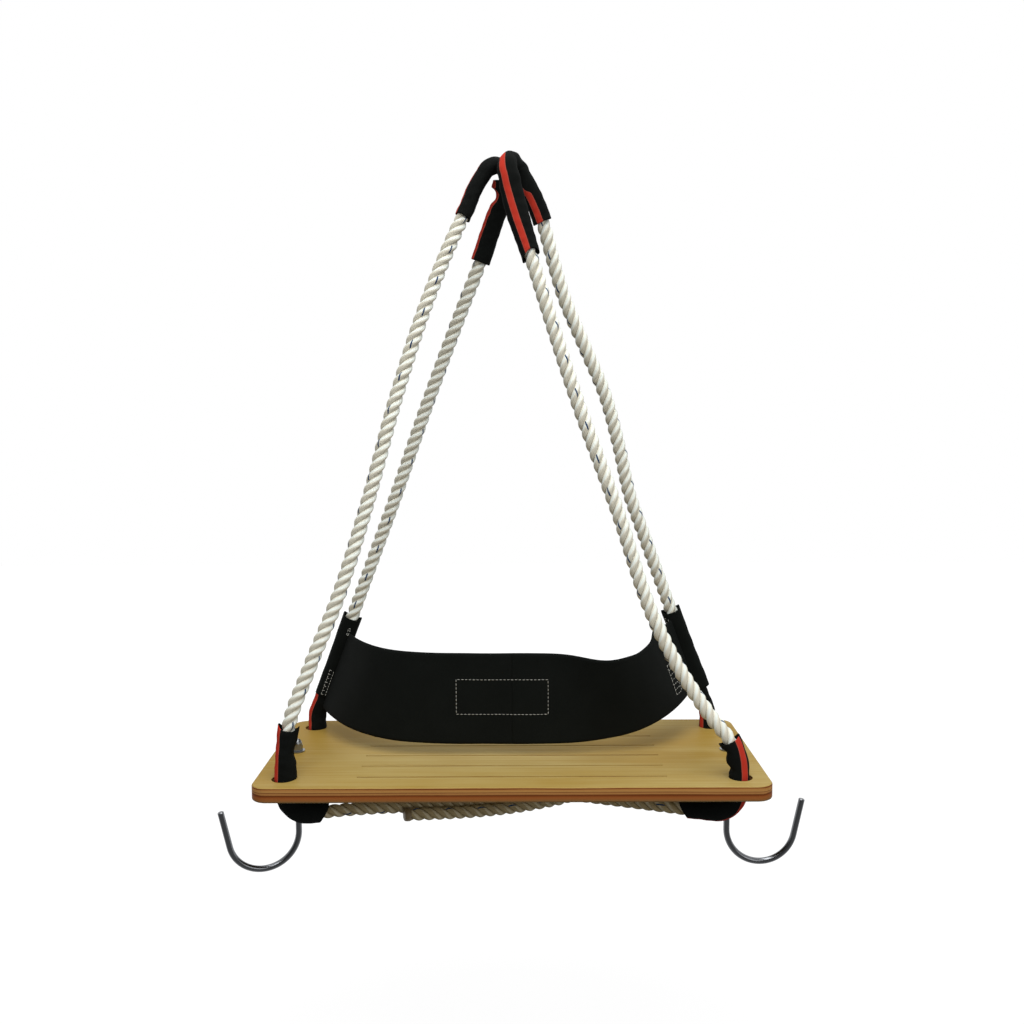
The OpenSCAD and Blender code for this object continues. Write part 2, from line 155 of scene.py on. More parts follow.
def axes_along(route: Array, ref: Array) -> tuple[Array, Array]:
    """Two directions square to a route at each point.

    Args:
        route: Points of the route.
        ref: Direction that the second one keeps closest to.

    Returns:
        The first and the second direction, which turn right-handed about the route.
    """
    t = unit(np.gradient(route, axis=0))
    v = unit(ref - t * (t @ ref)[:, None])
    return np.cross(v, t), v


def bell(x: Array, at: float, wide: float) -> Array:
    """Bell curve: e to the power of minus the square of the distance from its middle over its width."""
    return np.exp(-(((x - at) / wide) ** 2))


def keyed(s: Array, keys: Keys) -> Array:
    """Value on a cubic curve through keys, with no overshoot.

    The slope at a key is the harmonic mean of the slopes beside it, or nought where they turn back.

    Args:
        s: Shares of the way at which the value is wanted.
        keys: Pairs of share of the way and value, in order.

    Returns:
        The value at each share.
    """
    at, value = np.array(keys, float).T
    gap, rise = np.diff(at), np.diff(value)
    way = rise / gap
    turn = way[:-1] * way[1:]
    slope = np.zeros_like(value)
    slope[1:-1] = np.where(turn > 0, 2 * turn / np.where(turn > 0, way[:-1] + way[1:], 1), 0)
    k = np.clip(np.searchsorted(at, s, side="right") - 1, 0, len(at) - 2)
    t = np.clip((s - at[k]) / gap[k], 0, 1)
    bend = slope[k] * (t**3 - 2 * t**2 + t) + slope[k + 1] * (t**3 - t**2)
    return value[k] + rise[k] * (3 * t**2 - 2 * t**3) + gap[k] * bend


# Meshes


def make_piece(
    name: str,
    verts: Array,
    faces: list[list[int]],
    uv: Array | None,
    finish: bpy.types.Material,
    flat_ends: int = 0,
) -> bpy.types.Object:
    """Mesh object at the origin with smooth faces.

    Args:
        name: Name of the piece.
        verts: Points in mm.
        faces: Vertex indices of each face.
        uv: Two values for each corner of each face, or None.
        finish: Material of the piece.
        flat_ends: How many of the last faces are flat cut ends.

    Returns:
        The new object, linked to the scene.
    """
    mesh = bpy.data.meshes.new(name)
    mesh.from_pydata((verts * MM).tolist(), [], faces)
    smooth = np.arange(len(mesh.polygons)) < len(mesh.polygons) - flat_ends
    mesh.polygons.foreach_set("use_smooth", smooth)
    if uv is not None:
        mesh.uv_layers.new(name="cloth").data.foreach_set("uv", uv.astype(np.float32).ravel())
    mesh.materials.append(finish)
    mesh.update()
    obj = bpy.data.objects.new(name, mesh)
    bpy.context.scene.collection.objects.link(obj)
    return obj


def grid_quads(rows: int, cols: int, wrap_rows: bool = False) -> Array:
    """Quads of a grid that closes on itself along its columns, and along its rows too where asked.

    Args:
        rows: Rows of points.
        cols: Points in each row.
        wrap_rows: Whether the last row joins the first.

    Returns:
        Four vertex indices for each quad.
    """
    i, j = np.meshgrid(np.arange(rows if wrap_rows else rows - 1), np.arange(cols), indexing="ij")
    ni, nj = (i + 1) % rows, (j + 1) % cols
    return np.stack([i * cols + j, i * cols + nj, ni * cols + nj, ni * cols + j], axis=-1).reshape(-1, 4)


def end_caps(rows: int, cols: int) -> list[list[int]]:
    """Faces that close the first and the last row of a grid."""
    last = (rows - 1) * cols
    return [list(range(cols))[::-1], list(range(last, last + cols))]


def grid_uv(u: Array, v: Array) -> Array:
    """Corner values of grid_quads from u and v on a grid with one more row or column than it has quads."""
    g = np.stack([u, v], axis=-1)
    return np.stack([g[:-1, :-1], g[:-1, 1:], g[1:, 1:], g[1:, :-1]], axis=2).reshape(-1, 2)


# Finishes


def linear(code: str) -> tuple[float, float, float, float]:
    """Linear colour with alpha from an sRGB hex code."""
    parts = [int(code[i : i + 2], 16) / 255 for i in (1, 3, 5)]
    return (*(c / 12.92 if c <= 0.04045 else ((c + 0.055) / 1.055) ** 2.4 for c in parts), 1.0)


def add_node(
    tree: bpy.types.NodeTree, kind: str, inputs: dict | None = None, **settings: Any
) -> bpy.types.Node:
    """Node with its settings, whose inputs are values or the sockets linked to them.

    Args:
        tree: Node tree of the material or world.
        kind: Name of the node's type, without its prefix.
        inputs: Value or output socket for each input, by name or number.
        settings: Properties of the node.

    Returns:
        The new node.
    """
    node = tree.nodes.new("ShaderNode" + kind)
    for key, value in settings.items():
        setattr(node, key, value)
    for key, value in (inputs or {}).items():
        if isinstance(value, bpy.types.NodeSocket):
            tree.links.new(value, node.inputs[key])
        else:
            node.inputs[key].default_value = value
    return node


def set_ramp(ramp: bpy.types.Node, stops: Sequence[tuple[float, str]]) -> None:
    """Colours of a ramp at their places.

    Args:
        ramp: Colour ramp node, as it is made.
        stops: Place and sRGB hex code of each colour, in order.
    """
    elements = ramp.color_ramp.elements
    for k, (at, code) in enumerate(stops):
        stop = elements[k] if k < 2 else elements.new(at)
        stop.position, stop.color = at, linear(code)


def map_ends(span: Sequence[float], levels: Sequence[float]) -> dict[str, float]:
    """Inputs of a Map Range node that takes a span to two levels."""
    return dict(zip(("From Min", "From Max", "To Min", "To Max"), (*span, *levels)))


def seen_rays(tree: bpy.types.NodeTree, reach: Sequence[float], room: float = 0.1) -> bpy.types.NodeSocket:
    """How much of the white surround a ray sees.

    Args:
        tree: Node tree of the floor's material or of the world.
        reach: Y at which mirrors see the dim room on the camera's side, and Y from which all is white. On
            the floor it is a place in metres, and in the world the Y of a direction.
        room: Level of that room.

    Returns:
        Socket with one for rays of the camera and of glass, the level at Y for mirrors, else nought.
    """
    rays = add_node(tree, "LightPath").outputs
    place = add_node(tree, "SeparateXYZ", {0: add_node(tree, "TexCoord").outputs["Object"]}).outputs[1]
    level = add_node(tree, "MapRange", {"Value": place, **map_ends(reach, (room, 1.0))}).outputs[0]
    mirror = add_node(tree, "Math", {0: rays["Is Glossy Ray"], 1: level}, operation="MULTIPLY").outputs[0]
    sight = {0: rays["Is Camera Ray"], 1: rays["Is Transmission Ray"]}
    clear = add_node(tree, "Math", sight, operation="MAXIMUM").outputs[0]
    return add_node(tree, "Math", {0: clear, 1: mirror}, operation="MAXIMUM").outputs[0]


@dataclass(frozen=True)
class Finish:
    """A surface: its name, main colour and gloss. Subclasses add the pattern that the making leaves."""

    name: str
    colour: str
    roughness: float = 0.5
    metallic: float = 0.0
    specular: float = 0.5

    def build(self) -> bpy.types.Material:
        """Material with this finish.

        Returns:
            The new material, with its pattern.
        """
        material = bpy.data.materials.new(self.name)
        material.use_nodes = True
        shader = material.node_tree.nodes["Principled BSDF"]
        shader.inputs["Base Color"].default_value = linear(self.colour)
        shader.inputs["Roughness"].default_value = self.roughness
        shader.inputs["Metallic"].default_value = self.metallic
        shader.inputs["Specular IOR Level"].default_value = self.specular
        material.diffuse_color = linear(self.colour)
        self.pattern(material.node_tree, shader)
        return material

    def pattern(self, tree: bpy.types.NodeTree, shader: bpy.types.Node) -> None:
        """Plain surfaces have no pattern."""


@dataclass(frozen=True)
class BackdropFinish(Finish):
    """White paper that looks white and still takes the shadow, with little light thrown back up.

    The glow rises from its first level to its second over reach, the distance from the middle. Mirrors find
    the paper dim up to the first Y of room_y and white from the second on.
    """

    glow: tuple[float, float] = (0.9, 1.0)
    reach: tuple[float, float] = (600, 1600)
    room_y: tuple[float, float] = (-500, 500)

    def pattern(self, tree: bpy.types.NodeTree, shader: bpy.types.Node) -> None:
        """The paper glows for the camera and for mirrors only, and fully so away from the chair's shadow.

        Args:
            tree: Node tree of the material.
            shader: Its Principled node.
        """
        place = add_node(tree, "TexCoord").outputs["Object"]
        flat = add_node(tree, "VectorMath", {0: place, 1: (1, 1, 0)}, operation="MULTIPLY").outputs[0]
        away = add_node(tree, "VectorMath", {0: flat}, operation="LENGTH").outputs["Value"]
        ends = map_ends([r * MM for r in self.reach], self.glow)
        level = add_node(tree, "MapRange", {"Value": away, **ends}).outputs[0]
        seen = seen_rays(tree, [y * MM for y in self.room_y])
        glow = add_node(tree, "Math", {0: seen, 1: level}, operation="MULTIPLY")
        shader.inputs["Emission Color"].default_value = linear("#ffffff")
        tree.links.new(glow.outputs[0], shader.inputs["Emission Strength"])


@dataclass(frozen=True)
class LaidRopeFinish(Finish):
    """Laid polyester rope: smooth white strands with a painted highlight and painted shade on their flanks,
    painted shade with a little dirt where they meet, and a thin blue tracer yarn.

    The cloth map holds strands round the rope (0 to 3, each strand's crest at a whole number) and lay
    lengths along it. Yarns lie nearly along the rope, as each strand is twisted against the lay. Seven to a
    strand are coarser than the real ones, so that they show. The tracer's pitch, width and reach are in
    strands.
    """

    # Painted shade: face is the tan flank that looks down, shade the darker valley with a little dirt, and
    # the main colour is a painted highlight on the flank that looks up
    face: str = "#dfdac8"
    shade: str = "#a09986"
    tracer: str = "#2c4262"
    yarns: float = 7.0
    yarn_share: float = 0.02
    slant: float = 3.1
    mottle_mm: float = 22.0
    mottle_share: float = 0.12
    tracer_pitch: float = 1.6
    tracer_width: float = 0.055
    tracer_strand: float = 1.0
    tracer_reach: float = 0.42
    bump_mm: float = 0.12

    def pattern(self, tree: bpy.types.NodeTree, shader: bpy.types.Node) -> None:
        """A painted highlight as a pale ridge on one flank of each strand, painted shade as a tan face on the
        other flank and in a dark valley with a little dirt, and a tracer on one strand.

        Args:
            tree: Node tree of the material.
            shader: Its Principled node.
        """
        cloth = add_node(tree, "UVMap", uv_map="cloth")
        split = add_node(tree, "SeparateXYZ", {0: cloth.outputs[0]})
        strand, lay = split.outputs[0], split.outputs[1]
        slanted = {0: lay, 1: self.slant, 2: strand}
        across = add_node(tree, "Math", slanted, operation="MULTIPLY_ADD").outputs[0]
        phase = add_node(tree, "Math", {0: across, 1: self.yarns * 2 * math.pi}, operation="MULTIPLY")
        yarn = add_node(tree, "Math", {0: phase.outputs[0]}, operation="SINE").outputs[0]
        shifted = add_node(tree, "Math", {0: strand, 1: 0.5}, operation="ADD").outputs[0]
        place = add_node(tree, "TexCoord").outputs["Object"]
        size = 1 / (self.mottle_mm * MM)
        mottle = add_node(tree, "TexNoise", {"Vector": place, "Scale": size, "Detail": 3.0}).outputs[0]
        # Place across each strand, which picks the painted highlight, the painted shade of the lower flank
        # and of the valley, moved a little by random mottle
        side = add_node(tree, "Math", {0: shifted}, operation="FRACT").outputs[0]
        marked = {0: mottle, 1: self.mottle_share, 2: side}
        flank_light_and_mottle = add_node(tree, "Math", marked, operation="MULTIPLY_ADD").outputs[0]
        lined = {0: yarn, 1: self.yarn_share, 2: flank_light_and_mottle}
        tone = add_node(tree, "Math", lined, operation="MULTIPLY_ADD").outputs[0]
        ramp = add_node(tree, "ValToRGB", {0: tone})
        stops = [(0.06, self.shade), (0.16, self.face), (0.55, self.face)]
        stops += [(0.68, self.colour), (0.88, self.colour), (1.0, self.face)]
        set_ramp(ramp, stops)
        turns = {0: across, 1: self.tracer_pitch}
        part = add_node(tree, "Math", turns, operation="FLOORED_MODULO").outputs[0]
        off = add_node(tree, "Math", {0: part, 1: self.tracer_pitch / 2}, operation="SUBTRACT").outputs[0]
        near = add_node(tree, "Math", {0: off}, operation="ABSOLUTE").outputs[0]
        on_yarn = add_node(tree, "Math", {0: near, 1: self.tracer_width}, operation="LESS_THAN").outputs[0]
        beside = add_node(tree, "Math", {0: strand, 1: self.tracer_strand}, operation="SUBTRACT").outputs[0]
        apart = add_node(tree, "Math", {0: beside}, operation="ABSOLUTE").outputs[0]
        on_strand = add_node(tree, "Math", {0: apart, 1: self.tracer_reach}, operation="LESS_THAN").outputs[0]
        mark = add_node(tree, "Math", {0: on_yarn, 1: on_strand}, operation="MULTIPLY").outputs[0]
        mix = add_node(tree, "Mix", {0: mark, 6: ramp.outputs[0], 7: linear(self.tracer)}, data_type="RGBA")
        tree.links.new(mix.outputs[2], shader.inputs["Base Color"])
        bump = add_node(tree, "Bump", {"Height": yarn, "Distance": self.bump_mm * MM, "Strength": 0.4})
        tree.links.new(bump.outputs[0], shader.inputs["Normal"])


@dataclass(frozen=True)
class WebbingFinish(Finish):
    """Woven nylon webbing: fine ribs across and along, with an optional stripe between two paler threads.

    The cloth map holds mm across from the stripe's middle and mm along. The rib pitch is drawn coarser than
    the real thread so that it shows.
    """

    lift: str = "#111412"
    rib_mm: float = 1.6
    along_mm: float = 2.4
    weave_share: float = 0.2
    wear_mm: float = 30.0
    bump_mm: float = 0.25
    stripe: str | None = None
    stripe_edge: str = "#a94e40"
    stripe_mm: float = 8.2
    edge_mm: float = 0.8

    def pattern(self, tree: bpy.types.NodeTree, shader: bpy.types.Node) -> None:
        """Two crossed waves make the ribs. The stripe lies where the distance across is small.

        Args:
            tree: Node tree of the material.
            shader: Its Principled node.
        """
        cloth = add_node(tree, "UVMap", uv_map="cloth")
        split = add_node(tree, "SeparateXYZ", {0: cloth.outputs[0]})
        waves = []
        for socket, pitch in ((split.outputs[0], self.rib_mm), (split.outputs[1], self.along_mm)):
            phase = add_node(tree, "Math", {0: socket, 1: 2 * math.pi / pitch}, operation="MULTIPLY")
            waves.append(add_node(tree, "Math", {0: phase.outputs[0]}, operation="SINE").outputs[0])
        weave = add_node(tree, "Math", {0: waves[0], 1: waves[1]}, operation="MULTIPLY").outputs[0]
        place = add_node(tree, "TexCoord").outputs["Object"]
        size = 1 / (self.wear_mm * MM)
        wear = add_node(tree, "TexNoise", {"Vector": place, "Scale": size, "Detail": 4.0}).outputs[0]
        ribbed = {0: weave, 1: self.weave_share, 2: wear}
        tone = add_node(tree, "Math", ribbed, operation="MULTIPLY_ADD").outputs[0]
        ramp = add_node(tree, "ValToRGB", {0: tone})
        set_ramp(ramp, [(0.25, self.colour), (0.85, self.lift)])
        colour = ramp.outputs[0]
        if self.stripe is not None:
            dist = add_node(tree, "Math", {0: split.outputs[0]}, operation="ABSOLUTE").outputs[0]
            for half, code in (
                (self.stripe_mm / 2, self.stripe_edge),
                (self.stripe_mm / 2 - self.edge_mm, self.stripe),
            ):
                inside = add_node(tree, "Math", {0: dist, 1: half}, operation="LESS_THAN").outputs[0]
                mix = add_node(tree, "Mix", {0: inside, 6: colour, 7: linear(code)}, data_type="RGBA")
                colour = mix.outputs[2]
        tree.links.new(colour, shader.inputs["Base Color"])
        bump = add_node(tree, "Bump", {"Height": weave, "Distance": self.bump_mm * MM, "Strength": 0.5})
        tree.links.new(bump.outputs[0], shader.inputs["Normal"])


@dataclass(frozen=True)
class PlywoodFinish(Finish):
    """Varnished hardwood plywood: long pale grain on the faces, dark and pale plies on the edges.

    The plies are keyed by share of the height, and the lowest are painted darker as shade under the rounded
    lower edge. Towards the board's left and its back its faces are painted darker and browner, as painted
    shade and painted bounced light, from the X and Y where the two painted-shade spans start. Fields ending
    in
    _share say how strongly a noise or the grooves count. A face is level or upright by the Z of its normal.
    The streaks are drawn coarser than real grain, so that they show.
    """

    light: str = "#b29e63"
    dark: str = "#9e803b"
    groove: str = "#6a5028"
    # The two lowest stops are painted shade of the rounded lower edge; the others are the plies' own colours
    plies: tuple[tuple[float, str], ...] = (
        (0.0, "#5f4326"), (0.12, "#80603a"), (0.20, "#8f5a2e"), (0.34, "#98592c"), (0.46, "#7d421d"),
        (0.52, "#5c2d12"), (0.56, "#a06c3c"), (0.64, "#b07c46"), (0.68, "#6c3d1c"), (0.73, "#b5854c"),
        (0.88, "#b07a40"), (0.92, "#6b3516"), (0.955, "#743f1c"), (0.975, "#a88c50"),
    )
    groove_mm: float = 0.5
    groove_share: float = 0.7
    streak_mm: float = 4.0
    streak_long: float = 40.0
    streak_share: float = 0.55
    cloud_mm: float = 90.0
    cloud_long: float = 3.0
    # Spans in mm over which painted shade and painted bounced light grow towards the left and the back, and
    # how strong they are
    painted_shade_x: tuple[float, float] = (-300, -50)
    painted_shade_y: tuple[float, float] = (120, -60)
    painted_shade_level: float = 0.19
    ply_shift_mm: float = 1.4
    ply_bow_share: float = 0.05
    ply_streak_share: float = 0.12
    level_from: tuple[float, float] = (0.6, 0.9)
    level_groove: float = 0.8

    def pattern(self, tree: bpy.types.NodeTree, shader: bpy.types.Node) -> None:
        """Noise drawn out along X makes the grain. Height picks the ply where a face stands upright.

        Args:
            tree: Node tree of the material.
            shader: Its Principled node.
        """
        low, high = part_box("seat_board")
        place = add_node(tree, "TexCoord").outputs["Object"]
        noises = []
        for size, long in ((self.streak_mm, self.streak_long), (self.cloud_mm, self.cloud_long)):
            scale = 1 / (size * MM)
            drawn = add_node(tree, "Mapping", {"Vector": place, "Scale": (scale / long, scale, scale)})
            noise = add_node(tree, "TexNoise", {"Vector": drawn.outputs[0], "Scale": 1.0, "Detail": 5.0})
            noises.append(noise.outputs[0])
        streak, cloud = noises
        clouded = {0: streak, 1: self.streak_share, 2: cloud}
        tint = add_node(tree, "Math", clouded, operation="MULTIPLY_ADD").outputs[0]
        split = add_node(tree, "SeparateXYZ", {0: place})
        # Painted shade and painted bounced light: the faces turn darker and browner towards the left and the
        # back
        for socket, span in ((split.outputs[0], self.painted_shade_x), (split.outputs[1], self.painted_shade_y)):
            ends = map_ends([x * MM for x in span], (self.painted_shade_level, 0.0))
            painted_shade = add_node(tree, "MapRange", {"Value": socket, **ends}).outputs[0]
            tint = add_node(tree, "Math", {0: tint, 1: painted_shade}, operation="SUBTRACT").outputs[0]
        face = add_node(tree, "ValToRGB", {0: tint})
        set_ramp(face, [(0.55, self.dark), (1.0, self.light)])
        ends = map_ends([z + self.ply_shift_mm * MM for z in (low[2], high[2])], (0.0, 1.0))
        wander = add_node(tree, "MapRange", {"Value": split.outputs[2], **ends}).outputs[0]
        for noise, part in ((cloud, self.ply_bow_share), (streak, self.ply_streak_share)):
            moved = {0: noise, 1: part, 2: wander}
            wander = add_node(tree, "Math", moved, operation="MULTIPLY_ADD").outputs[0]
        edge = add_node(tree, "ValToRGB", {0: wander})
        set_ramp(edge, self.plies)
        facing = add_node(tree, "NewGeometry").outputs["Normal"]
        normal = add_node(tree, "SeparateXYZ", {0: facing}).outputs[2]
        level = add_node(tree, "Math", {0: normal}, operation="ABSOLUTE").outputs[0]
        ends = map_ends(self.level_from, (0.0, 1.0))
        flat = add_node(tree, "MapRange", {"Value": level, **ends}).outputs[0]
        body = add_node(tree, "Mix", {0: flat, 6: edge.outputs[0], 7: face.outputs[0]}, data_type="RGBA")
        above = {0: normal, 1: self.level_groove}
        upward = add_node(tree, "Math", above, operation="GREATER_THAN").outputs[0]
        line = high[2] - self.groove_mm * MM
        sunk = add_node(tree, "Math", {0: split.outputs[2], 1: line}, operation="LESS_THAN").outputs[0]
        cut = add_node(tree, "Math", {0: upward, 1: sunk}, operation="MULTIPLY").outputs[0]
        part = add_node(tree, "Math", {0: cut, 1: self.groove_share}, operation="MULTIPLY").outputs[0]
        whole = add_node(tree, "Mix", {0: part, 6: body.outputs[2], 7: linear(self.groove)}, data_type="RGBA")
        tree.links.new(whole.outputs[2], shader.inputs["Base Color"])


class Finishes:
    """Every material of the chair, built once."""

    def __init__(self) -> None:
        """Builds the materials."""
        # Laid polyester: smooth white strands that scatter light evenly, with a soft sheen on each crest, a
        # painted highlight on each strand's upper flank, and painted shade below it and in the valleys
        self.rope = LaidRopeFinish("laid_polyester_rope", "#e2e7df", roughness=0.7, specular=0.25).build()
        # The same rope under the seat, painted darker and tan: painted shade under the board, and bounced
        # light from its brown underside
        self.rope_shaded_under = LaidRopeFinish(
            "polyester_rope_shaded_under_seat", "#cfc3a4", roughness=0.75, specular=0.15, face="#a8966f", shade="#6d5d40"
        ).build()
        # Melted yarn ends set to a brown, slightly shiny skin
        self.rope_end = Finish("heat_sealed_rope_end", "#7d6a4a", roughness=0.45).build()
        # Woven black nylon drinks in light, so its folds hardly show, and the red warp stands out
        self.sleeve = WebbingFinish(
            "tubular_nylon_webbing", "#0b0d0c", roughness=0.85, specular=0.09, stripe="#b93527"
        ).build()
        # Heavier flat weave, as matt as the sleeves and a shade paler
        self.band = WebbingFinish("ribbed_nylon_webbing", "#0d100e", roughness=0.85, specular=0.09).build()
        # Thin satin varnish on sanded veneer: the grain's colour shows, and hardly any gloss; painted shade
        # darkens the left, the back and the lowest plies
        self.ply = PlywoodFinish("varnished_plywood", "#b59a5c", roughness=0.5, specular=0.06).build()
        # Drawn and plated rod: long clear reflections of the bright and the dim side of the room
        self.rod = Finish("bright_plated_steel_rod", "#77797c", roughness=0.2, metallic=1.0).build()
        # Pressed and zinc-plated nuts and washers: softer, paler reflections than the rod's
        self.zinc = Finish("zinc_plated_fasteners", "#8f9294", roughness=0.3, metallic=1.0).build()
        # Twisted thread: pale dull beads against the black cloth
        self.thread = Finish("polyester_sewing_thread", "#a9a9a2", roughness=0.8, specular=0.2).build()


# The chair's own sizes, repeated from the part's source


@dataclass(frozen=True)
class Seat:
    """Seat board and its rope holes."""

    width: float = 608
    depth: float = 270
    thick: float = 18
    drop: float = 718
    inset_x: float = 34
    inset_y: float = 33
    lean: float = 2.7

    @property
    def top(self) -> float:
        """Height of the seat's top face."""
        return -self.drop

    def hole(self, corner: Corner) -> Array:
        """Middle of a rope hole at the seat's top."""
        sx, sy = corner.value
        return point(sx * (self.width / 2 - self.inset_x), sy * (self.depth / 2 - self.inset_y), self.top)

    def outward(self, corner: Corner) -> Array:
        """Level direction from the middle of the seat to a hole."""
        return unit(self.hole(corner) * (1, 1, 0))

    def rope_at(self, corner: Corner) -> Array:
        """Where the rope rises through a hole, leaning on its inner wall."""
        return self.hole(corner) - self.outward(corner) * self.lean


@dataclass(frozen=True)
class CrownLoop:
    """Bend of one bight over the suspension: an arc in a plane that is turned and leans."""

    top: tuple[float, float]
    radius: float
    turn_deg: float
    lean_deg: float
    span_deg: tuple[float, float]
    height: float = 12.5
    points: int = 37

    @property
    def across(self) -> Array:
        """Level direction square to the loop, to the right."""
        a = math.radians(self.turn_deg)
        return point(math.cos(a), -math.sin(a), 0)

    def arc(self) -> Array:
        """Circle round a middle one radius below the top, by the sine of the angle up and the cosine forward.

        Returns:
            Points from the front end to the rear end.
        """
        back, lean = np.cross(UP, self.across), math.radians(self.lean_deg)
        rise = UP * math.cos(lean) + self.across * math.sin(lean)
        a = np.radians(np.linspace(*self.span_deg, self.points))[:, None]
        middle = point(*self.top, self.height) - rise * self.radius
        return middle + self.radius * (rise * np.sin(a) - back * np.cos(a))


@dataclass
class RopeRoutes:
    """Middle line of the endless rope: two bights over the suspension and two crossings under the seat.

    The bows of a leg are pairs of its share of the way up and how far it stands outwards there.
    """

    seat: Seat = field(default_factory=Seat)
    left_loop: CrownLoop = CrownLoop((-14.5, 12), 20.5, 58, 9, (20, 195))
    right_loop: CrownLoop = CrownLoop((2.5, -13), 18, 28, -17, (-5, 164))
    bend_r: float = 29
    upper_sag: float = 1
    lower_sag: float = 17.6
    bend_points: int = 13
    run_points: int = 81
    bows: dict[Corner, Keys] = field(
        default_factory=lambda: {
            Corner.FRONT_LEFT: [
                (0.04, 9), (0.085, 16.8), (0.18, 15.2), (0.29, 8.8), (0.45, 10.4), (0.63, 17.8), (0.79, 17.9),
                (0.89, 12.1), (0.95, 6.4), (0.98, 4.4),
            ],
            Corner.FRONT_RIGHT: [
                (0.03, 6.7), (0.06, 6.5), (0.10, -5.8), (0.14, -15.2), (0.18, -22.5), (0.25, -29.2),
                (0.44, -24), (0.63, -21.7), (0.80, -14.2), (0.88, -10), (0.93, -7.7), (0.97, -4.2),
            ],
            Corner.REAR_LEFT: [
                (0.03, 7.9), (0.06, 7.8), (0.40, 6.65), (0.44, 6.52), (0.63, 8.2), (0.80, 6.4), (0.88, 4.6),
                (0.94, 5.7), (0.975, 4.8),
            ],
            Corner.REAR_RIGHT: [
                (0.03, 7.46), (0.06, 6.94), (0.40, 1.03), (0.44, 0.33), (0.54, 8.9), (0.63, 13.3),
                (0.71, 7.8), (0.80, 2), (0.86, 4.2), (0.93, 7.5), (0.97, 5.2),
            ],
        }
    )

    def __post_init__(self) -> None:
        """Works out the crowns, legs and crossings."""
        self.crown_left, self.crown_right = self.left_loop.arc(), self.right_loop.arc()
        ends = {
            Corner.FRONT_LEFT: self.crown_left,
            Corner.REAR_LEFT: self.crown_left[::-1],
            Corner.FRONT_RIGHT: self.crown_right,
            Corner.REAR_RIGHT: self.crown_right[::-1],
        }
        self.legs = {corner: self.leg(corner, arch) for corner, arch in ends.items()}
        self.lower = self.crossing(Corner.FRONT_LEFT, Corner.REAR_RIGHT, self.lower_sag)
        self.upper = self.crossing(Corner.FRONT_RIGHT, Corner.REAR_LEFT, self.upper_sag)
        self.left = self.bight(Corner.FRONT_LEFT, self.crown_left, Corner.REAR_LEFT)
        self.right = self.bight(Corner.FRONT_RIGHT, self.crown_right, Corner.REAR_RIGHT)
        self.lower_side = np.cross(unit(self.lower[-1] - self.lower[0]), UP)
        self.upper_side = np.cross(unit(self.upper[-1] - self.upper[0]), UP)

    def leg(self, corner: Corner, arch: Array) -> Array:
        """Rope from the top of a hole to the crown: a straight line set out by its bows.

        Args:
            corner: The hole.
            arch: The crown, from this leg's end on.

        Returns:
            Points from the hole up.
        """
        start, out = self.seat.rope_at(corner), self.seat.outward(corner)
        ways = [start + (arch[0] - start) * t + out * bow for t, bow in self.bows[corner]]
        return smooth_route(start - UP * self.seat.thick, [start, *ways, arch[0]], arch[LEAD])

    def bight(self, front: Corner, arch: Array, rear: Corner) -> Array:
        """Front leg, crown and rear leg as one route."""
        return join_routes(self.legs[front], arch, self.legs[rear][::-1])

    def bend(self, corner: Corner, way: Array) -> Array:
        """Quarter turn from a hole's lower mouth into a level run.

        Args:
            corner: The hole.
            way: Level direction of the run.

        Returns:
            Points from the mouth on.
        """
        a = np.linspace(0, math.pi / 2, self.bend_points)[:, None]
        mouth = self.seat.rope_at(corner) - UP * self.seat.thick
        return mouth + way * self.bend_r * (1 - np.cos(a)) - UP * self.bend_r * np.sin(a)

    def crossing(self, near: Corner, far: Corner, sag: float) -> Array:
        """Down one hole, across under the seat, and up the other hole.

        The run sags by the square of a sine over its length.

        Args:
            near: Hole that the crossing starts from.
            far: Hole that it goes to.
            sag: How far its middle hangs below its ends.

        Returns:
            Points from hole to hole.
        """
        a, b = self.seat.rope_at(near), self.seat.rope_at(far)
        way = unit(b - a)
        first, last = self.bend(near, way), self.bend(far, -way)[::-1]
        t = np.linspace(0, 1, self.run_points)[:, None]
        run = first[-1] + (last[0] - first[-1]) * t - UP * sag * np.sin(math.pi * t) ** 2
        return np.concatenate([a[None], first, run[1:-1], last, b[None]])


